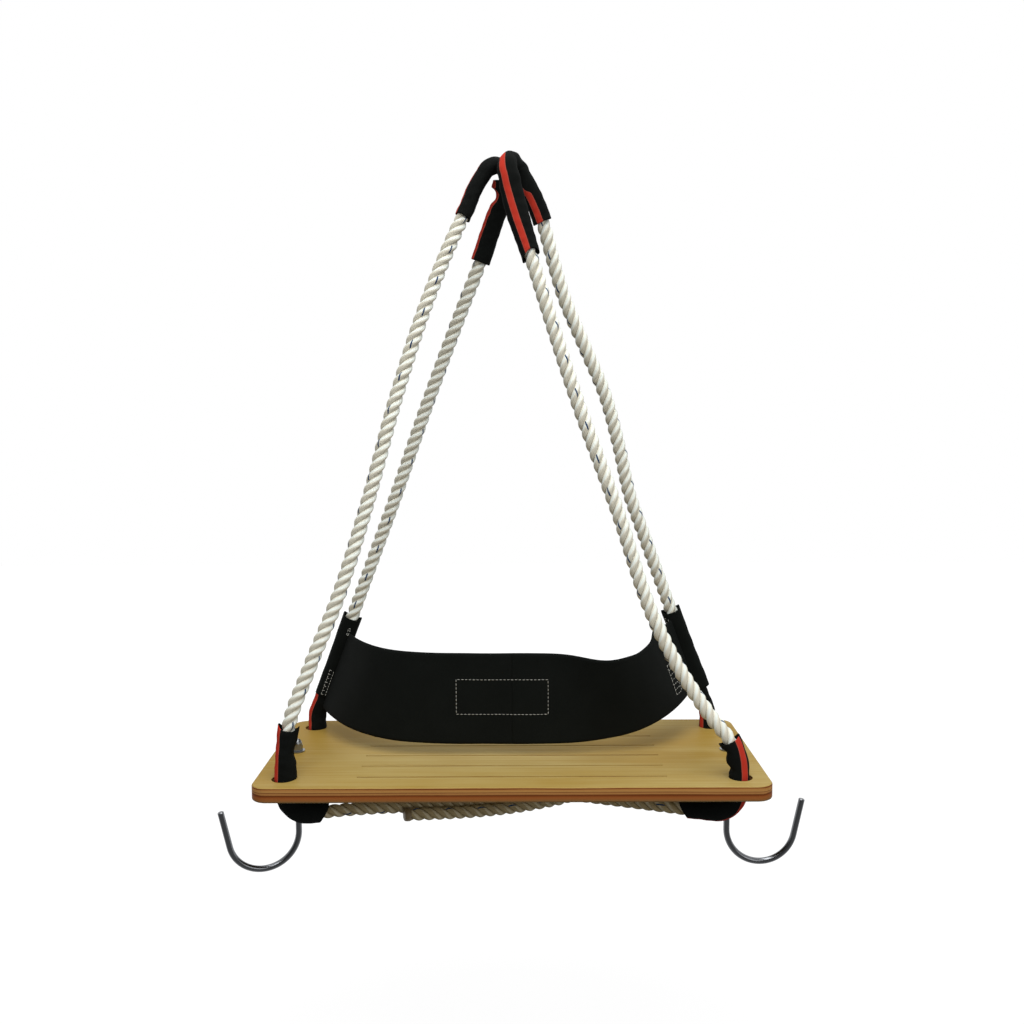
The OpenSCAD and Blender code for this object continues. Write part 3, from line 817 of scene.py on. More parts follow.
@dataclass
class LaidRope:
    """Rope of three strands laid right-handed, as one surface whose lobed section turns along the route."""

    finish: bpy.types.Material
    diameter: float = 16
    lay: float = 40
    strand_r: float = 4.6
    sides: int = 48
    step: float = 2.0

    def section(self) -> Array:
        """Radius round the rope: the outer line of three circles, each set off from the middle.

        It is the offset times the cosine of the angle from a strand's crest, plus the root of the strand's
        radius squared less the square of the offset times the sine.

        Returns:
            One radius for each side.
        """
        offset = self.diameter / 2 - self.strand_r
        phi = np.arange(self.sides) * 2 * math.pi / self.sides
        local = (phi + math.pi / 3) % (2 * math.pi / 3) - math.pi / 3
        return offset * np.cos(local) + np.sqrt(self.strand_r**2 - (offset * np.sin(local)) ** 2)

    def build(
        self,
        name: str,
        route: Array,
        ref: Array,
        scale: Callable[[Array], Array] | None = None,
        turn_at: float = 0.0,
    ) -> tuple[bpy.types.Object, Array]:
        """Rope along a route.

        Args:
            name: Name of the piece.
            route: Middle line in mm.
            ref: Direction that the frame along the route keeps to.
            scale: Share of the full radius by distance along, or None.
            turn_at: Distance up to which the cloth map is turned end for end, so that on a rising stretch and
                a falling one the painted highlight lies on the upper flank of each strand and the painted
                shade below it.

        Returns:
            The object, and the route that it follows.
        """
        length = run_of(route)[-1]
        s = np.linspace(0, length, int(length / self.step) + 1)
        path = along(route, s)
        u, v = axes_along(path, ref)
        angle = np.arange(self.sides)[None] * 2 * math.pi / self.sides + (s * 2 * math.pi / self.lay)[:, None]
        radius = self.section()[None] * (np.ones_like(s) if scale is None else scale(s))[:, None]
        ring = u[:, None] * np.cos(angle)[..., None] + v[:, None] * np.sin(angle)[..., None]
        verts = (path[:, None] + ring * radius[..., None]).reshape(-1, 3)
        quads = grid_quads(len(s), self.sides)
        strand, lays = np.meshgrid(np.arange(self.sides + 1) * 3 / self.sides, s / self.lay)
        rising = (s < turn_at)[:, None]
        strand, lays = np.where(rising, 3 - strand, strand), np.where(rising, -lays, lays)
        cap_uv = np.zeros((2 * self.sides, 2)) + 0.5
        uv = np.concatenate([grid_uv(strand, lays), cap_uv])
        faces = quads.tolist() + end_caps(len(s), self.sides)
        return make_piece(name, verts, faces, uv, self.finish, flat_ends=2), path


@dataclass
class RopeWork:
    """The endless rope and the tail of its splice.

    The profile of the sealed end is pairs of share of its length and radius.
    """

    routes: RopeRoutes
    sleeves: "Sleeves"
    finish: bpy.types.Material
    # Rope finish with painted shade and painted bounced light, for the stretches under the seat
    shaded_under_finish: bpy.types.Material
    end_finish: bpy.types.Material
    loose: float = 1.11
    loose_over: float = 12
    tail_from: float = 175
    tail_len: float = 260
    tail_taper: float = 50
    tail_tip: float = 0.5
    tail_lean_deg: float = 14
    tail_gap: float = 0.5
    tail_points: int = 60
    seal_len: float = 7
    seal_over: float = 1
    seal_sides: int = 32
    seal_profile: Keys = ((0, 0.05), (0, 6.4), (0.15, 8.0), (0.5, 8.3), (1, 8.2), (1, 7.4))

    def build(self) -> None:
        """Makes each stretch, and puts it on the chair in place of its solids."""
        rope, under, routes = LaidRope(self.finish), LaidRope(self.shaded_under_finish), self.routes
        grips = self.sleeves.grips()
        stretches = [
            (rope, "rope_bight_left", routes.left, routes.left_loop.across, grips[0],
             ("rope_leg_front_left", "rope_crown_left", "rope_leg_rear_left")),
            (rope, "rope_bight_right", routes.right, routes.right_loop.across, grips[1],
             ("rope_leg_front_right", "rope_crown_right", "rope_leg_rear_right")),
            (under, "rope_under_lower", routes.lower, routes.lower_side, None, ("rope_crossing_lower",)),
            (under, "rope_under_upper", routes.upper, routes.upper_side, None, ("rope_crossing_upper",)),
        ]
        for kind, name, route, ref, grip, nodes in stretches:
            scale = partial(self.bight_scale, grip=grip) if grip else None
            # The cloth map turns at each stretch's middle, so that the painted highlight stays on the upper
            # flanks going up and coming down
            obj, path = kind.build(name, route, ref, scale, turn_at=run_of(route)[-1] / 2)
            self.declare(obj, path, nodes)
        tail = self.tail_route(routes.lower_side)
        obj, path = under.build("rope_tail", tail, routes.lower_side, self.tail_scale)
        self.declare(obj, path, ("rope_splice_tail",))
        self.seal(tail[::-1])

    def seal(self, route: Array) -> None:
        """Melted end of the tail: a skin over the last millimetres, turned from a rounded profile.

        Args:
            route: The tail's middle line, from its cut end on.
        """
        share, r = np.array(self.seal_profile, float).T
        s, side, sides = share * self.seal_len - self.seal_over, self.routes.lower_side, self.seal_sides
        way = unit(route[LEAD] - route[0])
        path = route[0] + way * s[:, None]
        v = unit(side - way * (way @ side))
        a = np.arange(sides) * 2 * math.pi / sides
        ring = np.cross(v, way) * np.cos(a)[:, None] + v * np.sin(a)[:, None]
        verts = path[:, None] + ring[None] * r[:, None, None]
        faces = grid_quads(len(s), sides).tolist() + end_caps(len(s), sides)
        obj = make_piece("rope_tail_seal", verts.reshape(-1, 3), faces, None, self.end_finish)
        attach(obj, Body.CHAIR.value)
        LOG.info("%s", obj.name)

    def tail_route(self, side: Array) -> Array:
        """The tail lies in front of the lower crossing. It starts where its strands are tucked in.

        Args:
            side: Level direction square to the crossing, to the front.

        Returns:
            Points from the tucked end to the cut one.
        """
        a = math.radians(self.tail_lean_deg)
        shift = (side * math.cos(a) - UP * math.sin(a)) * (LaidRope.diameter + self.tail_gap)
        s = np.linspace(self.tail_from + self.tail_len, self.tail_from, self.tail_points)
        return along(self.routes.lower, s) + shift

    def bight_scale(self, s: Array, grip: Spans) -> Array:
        """Radius share of a bight: its own size under the sleeves, and opened a little between them."""
        gaps = [np.maximum(np.maximum(start - s, s - end), 0) for start, end in grip]
        return 1 + (self.loose - 1) * np.minimum(np.min(gaps, axis=0) / self.loose_over, 1)

    def tail_scale(self, s: Array) -> Array:
        """Radius share of the tail, thin where it is tucked in."""
        return np.interp(s, [0, self.tail_taper], [self.tail_tip, 1])

    def declare(self, obj: bpy.types.Object, path: Array, nodes: Sequence[str]) -> None:
        """Puts a stretch of rope on the chair in place of its solids.

        Args:
            obj: The stretch.
            path: Its middle line in mm.
            nodes: Solids that it stands for.
        """
        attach(obj, Body.CHAIR.value)
        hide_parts(*nodes)
        LOG.info("%s: %.0f mm of rope", obj.name, run_of(path)[-1])


@dataclass(frozen=True)
class Throat:
    """Seat hole that a sleeve passes through and is gathered by."""

    centre: Array
    top: float
    bottom: float
    radius: float = 13.7
    spread: float = 3.0

    def hold(self, verts: Array) -> Array:
        """Points drawn towards the hole's axis until they clear its wall, less so away from the board.

        The room they have is the hole's radius plus the spread times the distance from the board.

        Args:
            verts: Points in mm.

        Returns:
            The points, drawn in where they stood too far out.
        """
        away = np.maximum(np.maximum(verts[..., 2] - self.top, self.bottom - verts[..., 2]), 0)
        flat = verts[..., :2] - self.centre[:2]
        size = np.linalg.norm(flat, axis=-1)
        share = np.minimum(1, (self.radius + away * self.spread) / np.maximum(size, 1e-6))
        return np.concatenate([self.centre[:2] + flat * share[..., None], verts[..., 2:]], axis=-1)


@dataclass
class WebbingTube:
    """Sleeve of flattened tubular webbing on a stretch of rope, with a wall, soft wrinkles and cut ends.

    Angles turn about the rope. Keys are shares of the length with their values. The section is an oval
    whose broad side faces face_deg, with the wide keys as half its width and the deep ones as half its
    depth. A dent is given by its share of the length, angle, depth, reach as a share, reach as an angle, and
    shift along the rope. A depth below nought is a bulge. Pairs of slants and tips are for the two ends.
    """

    name: str
    node: str
    route: Array
    ref: Array
    wide: Keys
    deep: Keys
    face_deg: Keys
    stripe_deg: Keys
    wrinkle: float = 0.3
    wrinkle_mm: float = 17.0
    wrinkle_share: float = 0.45
    waves: int = 5
    wave_span: tuple[float, float] = (0.6, 1.6)
    most_lobes: int = 3
    seed: int = 1
    wall: float = 1.2
    least_wall: float = 0.5
    lip_share: float = 0.4
    slant: tuple[float, float] = (0.0, 0.0)
    slant_deg: tuple[float, float] = (0.0, 0.0)
    tips: tuple[float, float] = (0.0, 0.0)
    tip_power: float = 4.0
    dents: Sequence[tuple[float, float, float, float, float, float]] = ()
    throat: Throat | None = None
    sides: int = 72
    step: float = 1.2
    inner_r: float = 8.15
    oval: float = 2.4
    fade: float = 18.0

    def build(self, finish: bpy.types.Material) -> bpy.types.Object:
        """Outer wall, rounded rim, inner wall and rim again, as one surface that closes both ways.

        Args:
            finish: Material of the webbing.

        Returns:
            The sleeve's object.
        """
        length = run_of(self.route)[-1]
        s = np.linspace(0, length, int(length / self.step) + 1)
        share = s / length
        stripe = np.radians(keyed(share, self.stripe_deg))
        theta = np.linspace(-math.pi, math.pi, self.sides + 1)[None, :-1] + stripe[:, None]
        base, ring, way, outer = self.shape(s, theta)
        inner = np.maximum(outer - self.wall, self.inner_r)
        outer = np.maximum(outer, inner + self.least_wall)
        rows_out, rows_in = base + ring * outer[..., None], base + ring * inner[..., None]
        rim = base + ring * ((outer + inner) / 2)[..., None]
        lip = self.wall * self.lip_share
        grid = np.concatenate([rows_out, rim[-1:] + way[-1:] * lip, rows_in[::-1], rim[:1] - way[:1] * lip])
        if self.throat is not None:
            grid = self.throat.hold(grid)
        quads = grid_quads(len(grid), self.sides, wrap_rows=True)
        closed = np.concatenate([rows_out, rows_out[:, :1]], axis=1)
        chord = np.linalg.norm(np.diff(closed, axis=1), axis=-1)
        across = np.concatenate([np.zeros((len(s), 1)), np.cumsum(chord, axis=1)], axis=1)
        across = across - across[:, self.sides // 2, None]
        down = np.broadcast_to(s[:, None], across.shape)
        order = np.concatenate([np.arange(len(s)), [len(s) - 1], np.arange(len(s))[::-1], [0, 0]])
        uv = grid_uv(across[order], down[order])
        obj = make_piece(self.name, grid.reshape(-1, 3), quads.tolist(), uv, finish)
        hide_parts(self.node)
        return obj

    def shape(self, s: Array, theta: Array) -> tuple[Array, Array, Array, Array]:
        """Middle points, outward directions, directions along and radii at distances s and angles theta.

        Args:
            s: Distances along the route, one for each row.
            theta: Angles about it, rows by columns.

        Returns:
            Arrays of rows by columns: points, directions out, directions along, and radii.
        """
        length = run_of(self.route)[-1]
        fine = np.linspace(0, length, int(length / self.step) + 1)
        path = along(self.route, fine)
        parts = [path, *axes_along(path, self.ref), unit(np.gradient(path, axis=0))]
        at, u, v, t = (vectors_at(s, fine, part)[:, None] for part in parts)
        share = s / length
        face = np.radians(keyed(share, self.face_deg))[:, None]
        ring = u * np.cos(theta)[..., None] + v * np.sin(theta)[..., None]
        push = self.end_push(s, length, theta, face)
        radius = self.outline(share, s, theta, face)
        for place, angle, depth, reach, turn, lift in self.dents:
            gap = np.angle(np.exp(1j * (theta - math.radians(angle))))
            fall = np.exp(-(((share[:, None] - place) / reach) ** 2) - (gap / math.radians(turn)) ** 2)
            radius, push = radius - depth * fall, push + lift * fall
        way = np.broadcast_to(t, ring.shape)
        return at + way * push[..., None], ring, way, radius

    def outline(self, share: Array, s: Array, theta: Array, face: Array) -> Array:
        """Radius over the sleeve: a flattened oval with seeded wrinkles.

        The oval is the powers of the sine over the width and the cosine over the depth, added, to the power
        of minus one over their power. Each wrinkle is a sine along times a cosine round.

        Args:
            share: Shares of the length, one for each row.
            s: Distances along the route, one for each row.
            theta: Angles about it, rows by columns.
            face: Angle of the broad side, one for each row.

        Returns:
            Radii, rows by columns.
        """
        rng = np.random.default_rng(self.seed)
        wide, deep = keyed(share, self.wide)[:, None], keyed(share, self.deep)[:, None]
        off = theta - face
        broad, thin = np.abs(np.sin(off) / wide) ** self.oval, np.abs(np.cos(off) / deep) ** self.oval
        r = (broad + thin) ** (-1 / self.oval)
        size = self.wrinkle * self.wrinkle_share
        for _ in range(self.waves):
            wave = rng.uniform(*self.wave_span) * 2 * math.pi / self.wrinkle_mm
            lobes = rng.integers(1, self.most_lobes + 1)
            phase, twist = rng.uniform(0, 2 * math.pi), rng.uniform(0, 2 * math.pi)
            r = r + size * np.sin(wave * s[:, None] + phase) * np.cos(lobes * theta + twist)
        return r

    def end_push(self, s: Array, length: float, theta: Array, face: Array) -> Array:
        """Shift along the rope at the two cut ends: a slant, and tips where the flat tube is folded.

        The slant is a cosine round the rope and the tips a power of the sine. Both fade away from the end.

        Args:
            s: Distances along the route, one for each row.
            length: Length of the route.
            theta: Angles about it, rows by columns.
            face: Angle of the broad side, one for each row.

        Returns:
            Shifts in mm, rows by columns.
        """
        push = np.zeros_like(theta)
        for k, gap, sign in ((0, s, -1.0), (1, length - s, 1.0)):
            lean = self.slant[k] * np.cos(theta - math.radians(self.slant_deg[k]))
            tip = self.tips[k] * np.abs(np.sin(theta - face)) ** self.tip_power
            push = push + sign * np.exp(-gap / self.fade)[:, None] * (lean + tip)
        return push


@dataclass
class Sleeves:
    """Webbing sleeves over the crowns and in the seat holes.

    A crown sleeve's sizes are how far it runs down the front leg and the rear leg. A hole sleeve runs up its
    leg and down under the seat.
    """

    routes: RopeRoutes
    finish: bpy.types.Material
    crown_left: tuple[float, float] = (58, 95.5)
    crown_right: tuple[float, float] = (97.5, 62)
    crown_points: int = 160
    hole_points: tuple[int, int] = (50, 70)
    up: dict[Corner, float] = field(
        default_factory=lambda: {
            Corner.FRONT_LEFT: 58, Corner.FRONT_RIGHT: 44, Corner.REAR_LEFT: 50, Corner.REAR_RIGHT: 60,
        }
    )
    down: dict[Corner, float] = field(
        default_factory=lambda: {
            Corner.FRONT_LEFT: 78, Corner.FRONT_RIGHT: 98, Corner.REAR_LEFT: 76, Corner.REAR_RIGHT: 76,
        }
    )

    def crown_span(self, front: Corner, arch: Array, reach: tuple[float, float]) -> tuple[float, float]:
        """Distances along a bight at which its crown sleeve starts and ends."""
        start = run_of(self.routes.legs[front])[-1]
        return start - reach[0], start + run_of(arch)[-1] + reach[1]

    def crown_route(self, front: Corner, arch: Array, bight: Array, reach: tuple[float, float]) -> Array:
        """Stretch of a bight under its crown sleeve."""
        return along(bight, np.linspace(*self.crown_span(front, arch, reach), self.crown_points))

    def hole_route(self, corner: Corner, run: Array) -> Array:
        """Stretch of rope from above a hole down into the bend under the seat.

        Args:
            corner: The hole.
            run: Crossing that starts in it.

        Returns:
            Points from the sleeve's upper end to its lower one.
        """
        upper = along(self.routes.legs[corner], np.linspace(self.up[corner], 0, self.hole_points[0]))
        lower = along(run, np.linspace(0, self.down[corner], self.hole_points[1]))
        return join_routes(upper, lower)

    def grips(self) -> list[Spans]:
        """Stretches of the bights that lie under sleeves.

        Returns:
            Distances at which each stretch starts and ends, for the left bight and for the right one.
        """
        r = self.routes
        spans = []
        for front, rear, arch, bight, reach in (
            (Corner.FRONT_LEFT, Corner.REAR_LEFT, r.crown_left, r.left, self.crown_left),
            (Corner.FRONT_RIGHT, Corner.REAR_RIGHT, r.crown_right, r.right, self.crown_right),
        ):
            length, crown = run_of(bight)[-1], self.crown_span(front, arch, reach)
            spans.append([(0, self.up[front]), crown, (length - self.up[rear], length)])
        return spans

    def throat(self, corner: Corner) -> Throat:
        """Hole of the seat at a corner."""
        seat = self.routes.seat
        return Throat(seat.hole(corner), seat.top, seat.top - seat.thick)

    def crowns(self) -> list[WebbingTube]:
        """Sleeves over the suspension, each from its front leg over to its rear leg.

        Returns:
            The left one and the right one.
        """
        r = self.routes
        return [
            WebbingTube(
                "crown_sleeve_left_webbing", "crown_sleeve_left",
                self.crown_route(Corner.FRONT_LEFT, r.crown_left, r.left, self.crown_left),
                r.left_loop.across,
                wide=[(0, 9.9), (0.23, 9.6), (0.41, 10.2), (0.556, 11.4), (0.72, 11.8), (1, 12.2)],
                deep=[(0, 10.0), (1, 10.0)],
                face_deg=[(0, 68), (0.269, 64), (0.413, 15), (0.556, -40), (0.644, -73), (1, -73)],
                stripe_deg=[(0, -15), (0.269, -19), (0.413, -62), (0.5, -148), (0.54, -172), (0.58, -178),
                            (0.625, -190), (0.70, -180), (1, -175)],
                seed=3, slant=(1, 0), slant_deg=(148, 32), tips=(0.5, 0.0),
                dents=[(0.52, -170, -8.5, 0.018, 55, -4.0), (0.545, -168, -7.0, 0.02, 55, 0.0),
                       (0.578, -164, -10.0, 0.03, 60, 4.0), (0.648, -160, 3.0, 0.022, 50, 0.0)],
            ),
            WebbingTube(
                "crown_sleeve_right_webbing", "crown_sleeve_right",
                self.crown_route(Corner.FRONT_RIGHT, r.crown_right, r.right, self.crown_right),
                r.right_loop.across,
                wide=[(0, 11.6), (0.11, 12.3), (0.28, 13.6), (0.39, 13.2), (0.49, 12.0), (0.584, 11.0),
                      (0.706, 11.0), (1, 11.8)],
                deep=[(0, 10.0), (1, 10.0)],
                face_deg=[(0, 28), (0.432, 28), (0.584, -60), (0.709, -190), (0.774, -208), (1, -208)],
                stripe_deg=[(0, 14), (0.217, 9), (0.413, 0), (0.53, -16), (0.628, -80), (0.706, -142),
                            (0.794, -157), (0.834, -186), (1, -190)],
                seed=8, slant=(4.5, 0.7), slant_deg=(-112, 242), tips=(4.5, 0.5), tip_power=2.0,
            ),
        ]

    def holes(self) -> list[WebbingTube]:
        """Sleeves in the seat's holes, each from above the seat down into the bend.

        Returns:
            One for each corner.
        """
        r = self.routes
        plans = {
            Corner.FRONT_LEFT: (
                r.lower, r.lower_side,
                dict(wide=[(0, 12.6), (0.12, 12.2), (0.3, 12.6), (0.43, 13.2), (0.58, 12.2), (0.75, 11.2),
                           (1, 11.6)],
                     deep=[(0, 10.2), (1, 10.2)], face_deg=[(0, 112), (1, 112)],
                     stripe_deg=[(0, 168), (0.45, 168), (0.62, 215), (1, 235)],
                     dents=[(0.2, 22, 4.2, 0.07, 45, 0.0), (0.8, 0, -8.0, 0.14, 60, 0.0)],
                     seed=5, slant=(0, 5), tips=(6.0, 1.0)),
            ),
            Corner.FRONT_RIGHT: (
                r.upper, r.upper_side,
                dict(wide=[(0, 13.4), (0.1, 12.6), (0.2, 12.8), (0.31, 13.0), (0.45, 11.0), (0.6, 9.8),
                           (0.85, 9.8), (1, 10.6)],
                     deep=[(0, 10.2), (0.45, 10.0), (0.6, 9.5), (1, 10.0)], face_deg=[(0, 248), (1, 248)],
                     stripe_deg=[(0, 205), (0.2, 216), (0.4, 216), (0.6, 196), (1, 196)],
                     dents=[(0.085, 338, 4.0, 0.035, 45, 0.0), (0.24, 338, 5.0, 0.035, 45, 0.0),
                            (0.31, 338, 2.5, 0.03, 45, 0.0), (0.68, 0, -8.0, 0.16, 60, 0.0)],
                     seed=11, slant=(0, 5), slant_deg=(180, 0), tips=(3.5, 1.0)),
            ),
            Corner.REAR_LEFT: (
                r.upper[::-1], r.upper_side,
                dict(wide=[(0, 11.4), (0.39, 12.0), (0.6, 11.2), (1, 11.8)], deep=[(0, 10.0), (1, 10.2)],
                     face_deg=[(0, 248), (1, 248)], stripe_deg=[(0, 306), (0.45, 306), (1, 316)],
                     seed=14, slant=(0, 4)),
            ),
            Corner.REAR_RIGHT: (
                r.lower[::-1], r.lower_side,
                dict(wide=[(0, 10.4), (0.4, 11.0), (0.6, 11.0), (1, 11.8)], deep=[(0, 10.0), (1, 10.2)],
                     face_deg=[(0, 112), (1, 112)], stripe_deg=[(0, 172), (1, 172)], seed=21, slant=(0, 4)),
            ),
        }
        tubes = []
        for corner, (run, side, shape) in plans.items():
            node = f"hole_sleeve_{corner.name.lower()}"
            route, throat = self.hole_route(corner, run), self.throat(corner)
            tubes.append(WebbingTube(f"{node}_webbing", node, route, side, throat=throat, **shape))
        return tubes

    def build(self) -> None:
        """Makes the two crown sleeves and the four hole sleeves."""
        for tube in self.crowns() + self.holes():
            obj = tube.build(self.finish)
            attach(obj, Body.CHAIR.value)
            LOG.info("%s: %.0f mm long", obj.name, run_of(tube.route)[-1])


@dataclass(frozen=True)
class Seam:
    """Line of thread stitches laid on cloth: each is a bead along a chord, pinched at its ends and raised.

    The bead's width swells with the root of a sine over its length and its rise with the sine. The thread is
    drawn a little thicker than a real one, so that it shows.
    """

    length: float = 3.0
    gap: float = 1.1
    width: float = 0.9
    rise: float = 0.3
    pinch: float = 0.35
    flatness: float = 0.7
    feel: float = 0.3
    sides: int = 6
    rings: int = 5

    def beads(self, line: Array, normal: Array) -> Array:
        """Points of every stitch along one line.

        Args:
            line: Points of the line on the cloth.
            normal: Outward direction of the cloth at each point.

        Returns:
            Array of stitches by rings by sides by 3.
        """
        run = run_of(line)
        count = max(1, int(run[-1] // (self.length + self.gap)))
        t = np.linspace(0, 1, self.rings)
        s = np.arange(count)[:, None] * run[-1] / count + t[None] * self.length
        at = along(line, s)
        out = unit(vectors_at(s, run, normal))
        way = unit(along(line, s + self.feel) - along(line, s - self.feel))
        side = unit(np.cross(out, way))
        a = np.arange(self.sides) * 2 * math.pi / self.sides
        r = self.width / 2 * (self.pinch + (1 - self.pinch) * np.sin(math.pi * t) ** 0.5)
        lift = self.rise * np.sin(math.pi * t)
        centre = at + out * lift[None, :, None]
        ring = side[:, :, None] * np.cos(a)[:, None] + out[:, :, None] * np.sin(a)[:, None] * self.flatness
        return centre[:, :, None] + ring * r[None, :, None, None]

    def build(self, name: str, lines: Sequence[Line], finish: bpy.types.Material) -> bpy.types.Object:
        """One object with the stitches of several lines.

        Args:
            name: Name of the piece.
            lines: Points and outward directions of each line.
            finish: Material of the thread.

        Returns:
            The seam's object.
        """
        beads = np.concatenate([self.beads(line, normal) for line, normal in lines])
        size = self.rings * self.sides
        start = np.arange(len(beads))[:, None, None] * size
        quads = (grid_quads(self.rings, self.sides)[None] + start).reshape(-1, 4)
        ends = np.stack([np.arange(self.sides)[::-1], np.arange(size - self.sides, size)])
        caps = (ends[None] + start).reshape(-1, self.sides)
        return make_piece(name, beads.reshape(-1, 3), quads.tolist() + caps.tolist(), None, finish)


@dataclass
class BackBand:
    """Wide webbing band that hangs between loops on the rear ropes, with its sewing.

    Pairs of sizes are for the left and the right end. The fold, the tuck and the sag of the upper edge are
    bells over the share u from the middle, with their middles and widths. A ripple is its waves across and
    up, its start and its size. A seam on a loop is its start and end along it in mm, its start and end round
    it in degrees from its face, and its rungs.
    """

    routes: RopeRoutes
    band: bpy.types.Material
    thread: bpy.types.Material
    thick: float = 3.0
    height: float = 116
    low: float = 15
    reach: float = 20
    swell: float = 22
    dip: float = 7
    fold_at: float = 0.6
    fold_share: float = 0.22
    power: float = 5
    low_rise: float = 3
    high_rise: tuple[float, float] = (3, 8)
    tuck_at: tuple[float, float] = (0.92, 0.05)
    tuck: tuple[float, float] = (-8, 7)
    tuck_power: float = 40
    sag_at: tuple[float, float] = (0.755, 0.06)
    sag: float = 2.2
    loop_at: tuple[float, float] = (50.3, 60.3)
    loop_len: float = 116
    loop_r: float = 11.8
    loop_deep: float = 10.8
    loop_wide: tuple[Keys, Keys] = (
        ((0, 12.6), (0.5, 12.2), (1, 12.8)),
        ((0, 15.2), (0.5, 13.4), (1, 12.8)),
    )
    loop_points: int = 80
    lap: float = 0.35
    leave_deg: float = 60
    low_corner: tuple[float, float] = (-18, 5)
    high_corner: tuple[float, float] = (94, 104)
    follow: tuple[float, float] = (150, 12)
    rows: int = 40
    stations: int = 120
    span_points: int = 60
    edge_ease: float = 0.55
    feel: float = 0.004
    ripple: float = 0.6
    ripples: tuple[tuple[float, float, float, float], ...] = ((9, 2, 0, 1), (21, -3, 1, 0.6))
    calm_power: float = 6
    patch_x: tuple[float, float] = (-69.5, 45.5)
    patch_up: tuple[float, float] = (53.3, 97.6)
    patch_points: int = 40
    ladder_uh: tuple[tuple[float, float], ...] = ((0.899, 0.53), (0.8925, 0.125), (0.932, 0.52))
    ladder_rungs: int = 7
    rung_span: tuple[float, float] = (0.02, 0.98)
    rung_points: int = 30
    seams: tuple[tuple[tuple[float, ...], ...], ...] = (
        ((2, 40, -16, 14, 7), (94, 104, 10, 22, 2)),
        ((92, 110, -64, -40, 4),),
    )

    def leg(self, side: int) -> Array:
        """Rear rope on the left (-1) or right (1)."""
        return self.routes.legs[Corner.REAR_LEFT if side < 0 else Corner.REAR_RIGHT]

    def end_point(self, side: int, s: float) -> Array:
        """Point of the band's end beside its loop.

        Args:
            side: -1 for the left end, 1 for the right one.
            s: Distance up from the loop's bottom.

        Returns:
            The point, in the middle of the band's thickness.
        """
        a = math.radians(self.leave_deg)
        leave = point(-side * math.cos(a), -math.sin(a), 0)
        at = along(self.leg(side), np.array([self.loop_at[side > 0] + s]))[0]
        return at + leave * (self.loop_r + self.thick / 2 - self.lap)

    def edge(self, u: Array, upper: bool) -> Array:
        """Lower or upper edge of the band: bowed forward by a power of the share u from the middle.

        On the right the upper edge sags a little and is then tucked inwards and up, each as a bell over u.

        Args:
            u: Shares from -1 at the left loop to 1 at the right one.
            upper: Whether the upper edge is wanted.

        Returns:
            One point for each share.
        """
        top = self.routes.seat.top
        share = np.abs(u)
        corner = self.high_corner if upper else self.low_corner
        ends = [self.end_point(side, s) for side, s in zip((-1, 1), corner)]
        end = np.where((u < 0)[:, None], ends[0], ends[1])
        climb = np.where(u < 0, *self.high_rise) if upper else np.full_like(u, self.low_rise)
        fold = bell(u, self.fold_at, self.fold_share) * (1 - share**self.power) * float(upper)
        mid_z = top + self.low + (self.height if upper else 0)
        y = -self.reach + (end[:, 1] + self.reach) * share**self.power - self.swell * fold
        z = mid_z + (end[:, 2] - mid_z) * share**climb - self.dip * fold
        tuck = bell(u, *self.tuck_at) * float(upper) * (1 - share**self.tuck_power)
        sag = bell(u, *self.sag_at) * float(upper)
        x = end[:, 0] * share + self.tuck[0] * tuck
        return np.stack([x, y, z + self.tuck[1] * tuck - self.sag * sag], axis=-1)

    def flat(self, u: Array, h: Array) -> Array:
        """Points straight between the lower and the upper edge, u by h."""
        low, high = self.edge(u, False)[:, None], self.edge(u, True)[:, None]
        return low + (high - low) * h[None, :, None]

    def surface(self, u: Array, h: Array) -> tuple[Array, Array]:
        """Middle of the band and its front-facing normal at shares u across and h up.

        Args:
            u: Shares from -1 at the left loop to 1 at the right one.
            h: Shares from 0 at the lower edge to 1 at the upper one.

        Returns:
            Points and normals, u by h.
        """
        ahead, behind = (np.clip(u + step, -1, 1) for step in (self.feel, -self.feel))
        way = self.flat(ahead, h) - self.flat(behind, h)
        rise = (self.edge(u, True) - self.edge(u, False))[:, None]
        normal = unit(np.cross(way, np.broadcast_to(rise, way.shape)))
        calm = 1 - np.abs(u[:, None]) ** self.calm_power
        wave = sum(size * np.sin(a * u[:, None] + b * h[None] + c) for a, b, c, size in self.ripples)
        return self.flat(u, h) + normal * (wave * self.ripple * calm)[..., None], normal

    def half(self, side: int) -> bpy.types.Object:
        """Left or right half of the band: front, upper edge, back and lower edge round a closed section.

        Args:
            side: -1 for the left half, 1 for the right one.

        Returns:
            The half's object.
        """
        shares = np.sin(np.linspace(0, math.pi / 2, self.stations)) * side
        u = np.sort(shares)
        h = np.linspace(0, 1, self.rows)
        mid, normal = self.surface(u, h)
        ease = np.ones_like(h)
        ease[[0, -1]] = self.edge_ease
        off = normal * (self.thick / 2 * ease)[None, :, None]
        front, back = mid + off, mid - off
        ring = np.concatenate([front, back[:, ::-1]], axis=1)
        count = ring.shape[1]
        quads = grid_quads(len(u), count)[:, ::-1]
        run = run_of(mid[:, self.rows // 2])
        down = np.concatenate([h, h[::-1], h[:1]]) * self.height
        across, along_band = np.meshgrid(down, run)
        uv = grid_uv(across, along_band).reshape(-1, 4, 2)[:, ::-1].reshape(-1, 2)
        caps = [cap[::-1] for cap in end_caps(len(u), count)]
        uv = np.concatenate([uv, np.zeros((2 * count, 2))])
        name = "back_band_left_half" if side < 0 else "back_band_right_half"
        return make_piece(name, ring.reshape(-1, 3), quads.tolist() + caps, uv, self.band, flat_ends=2)

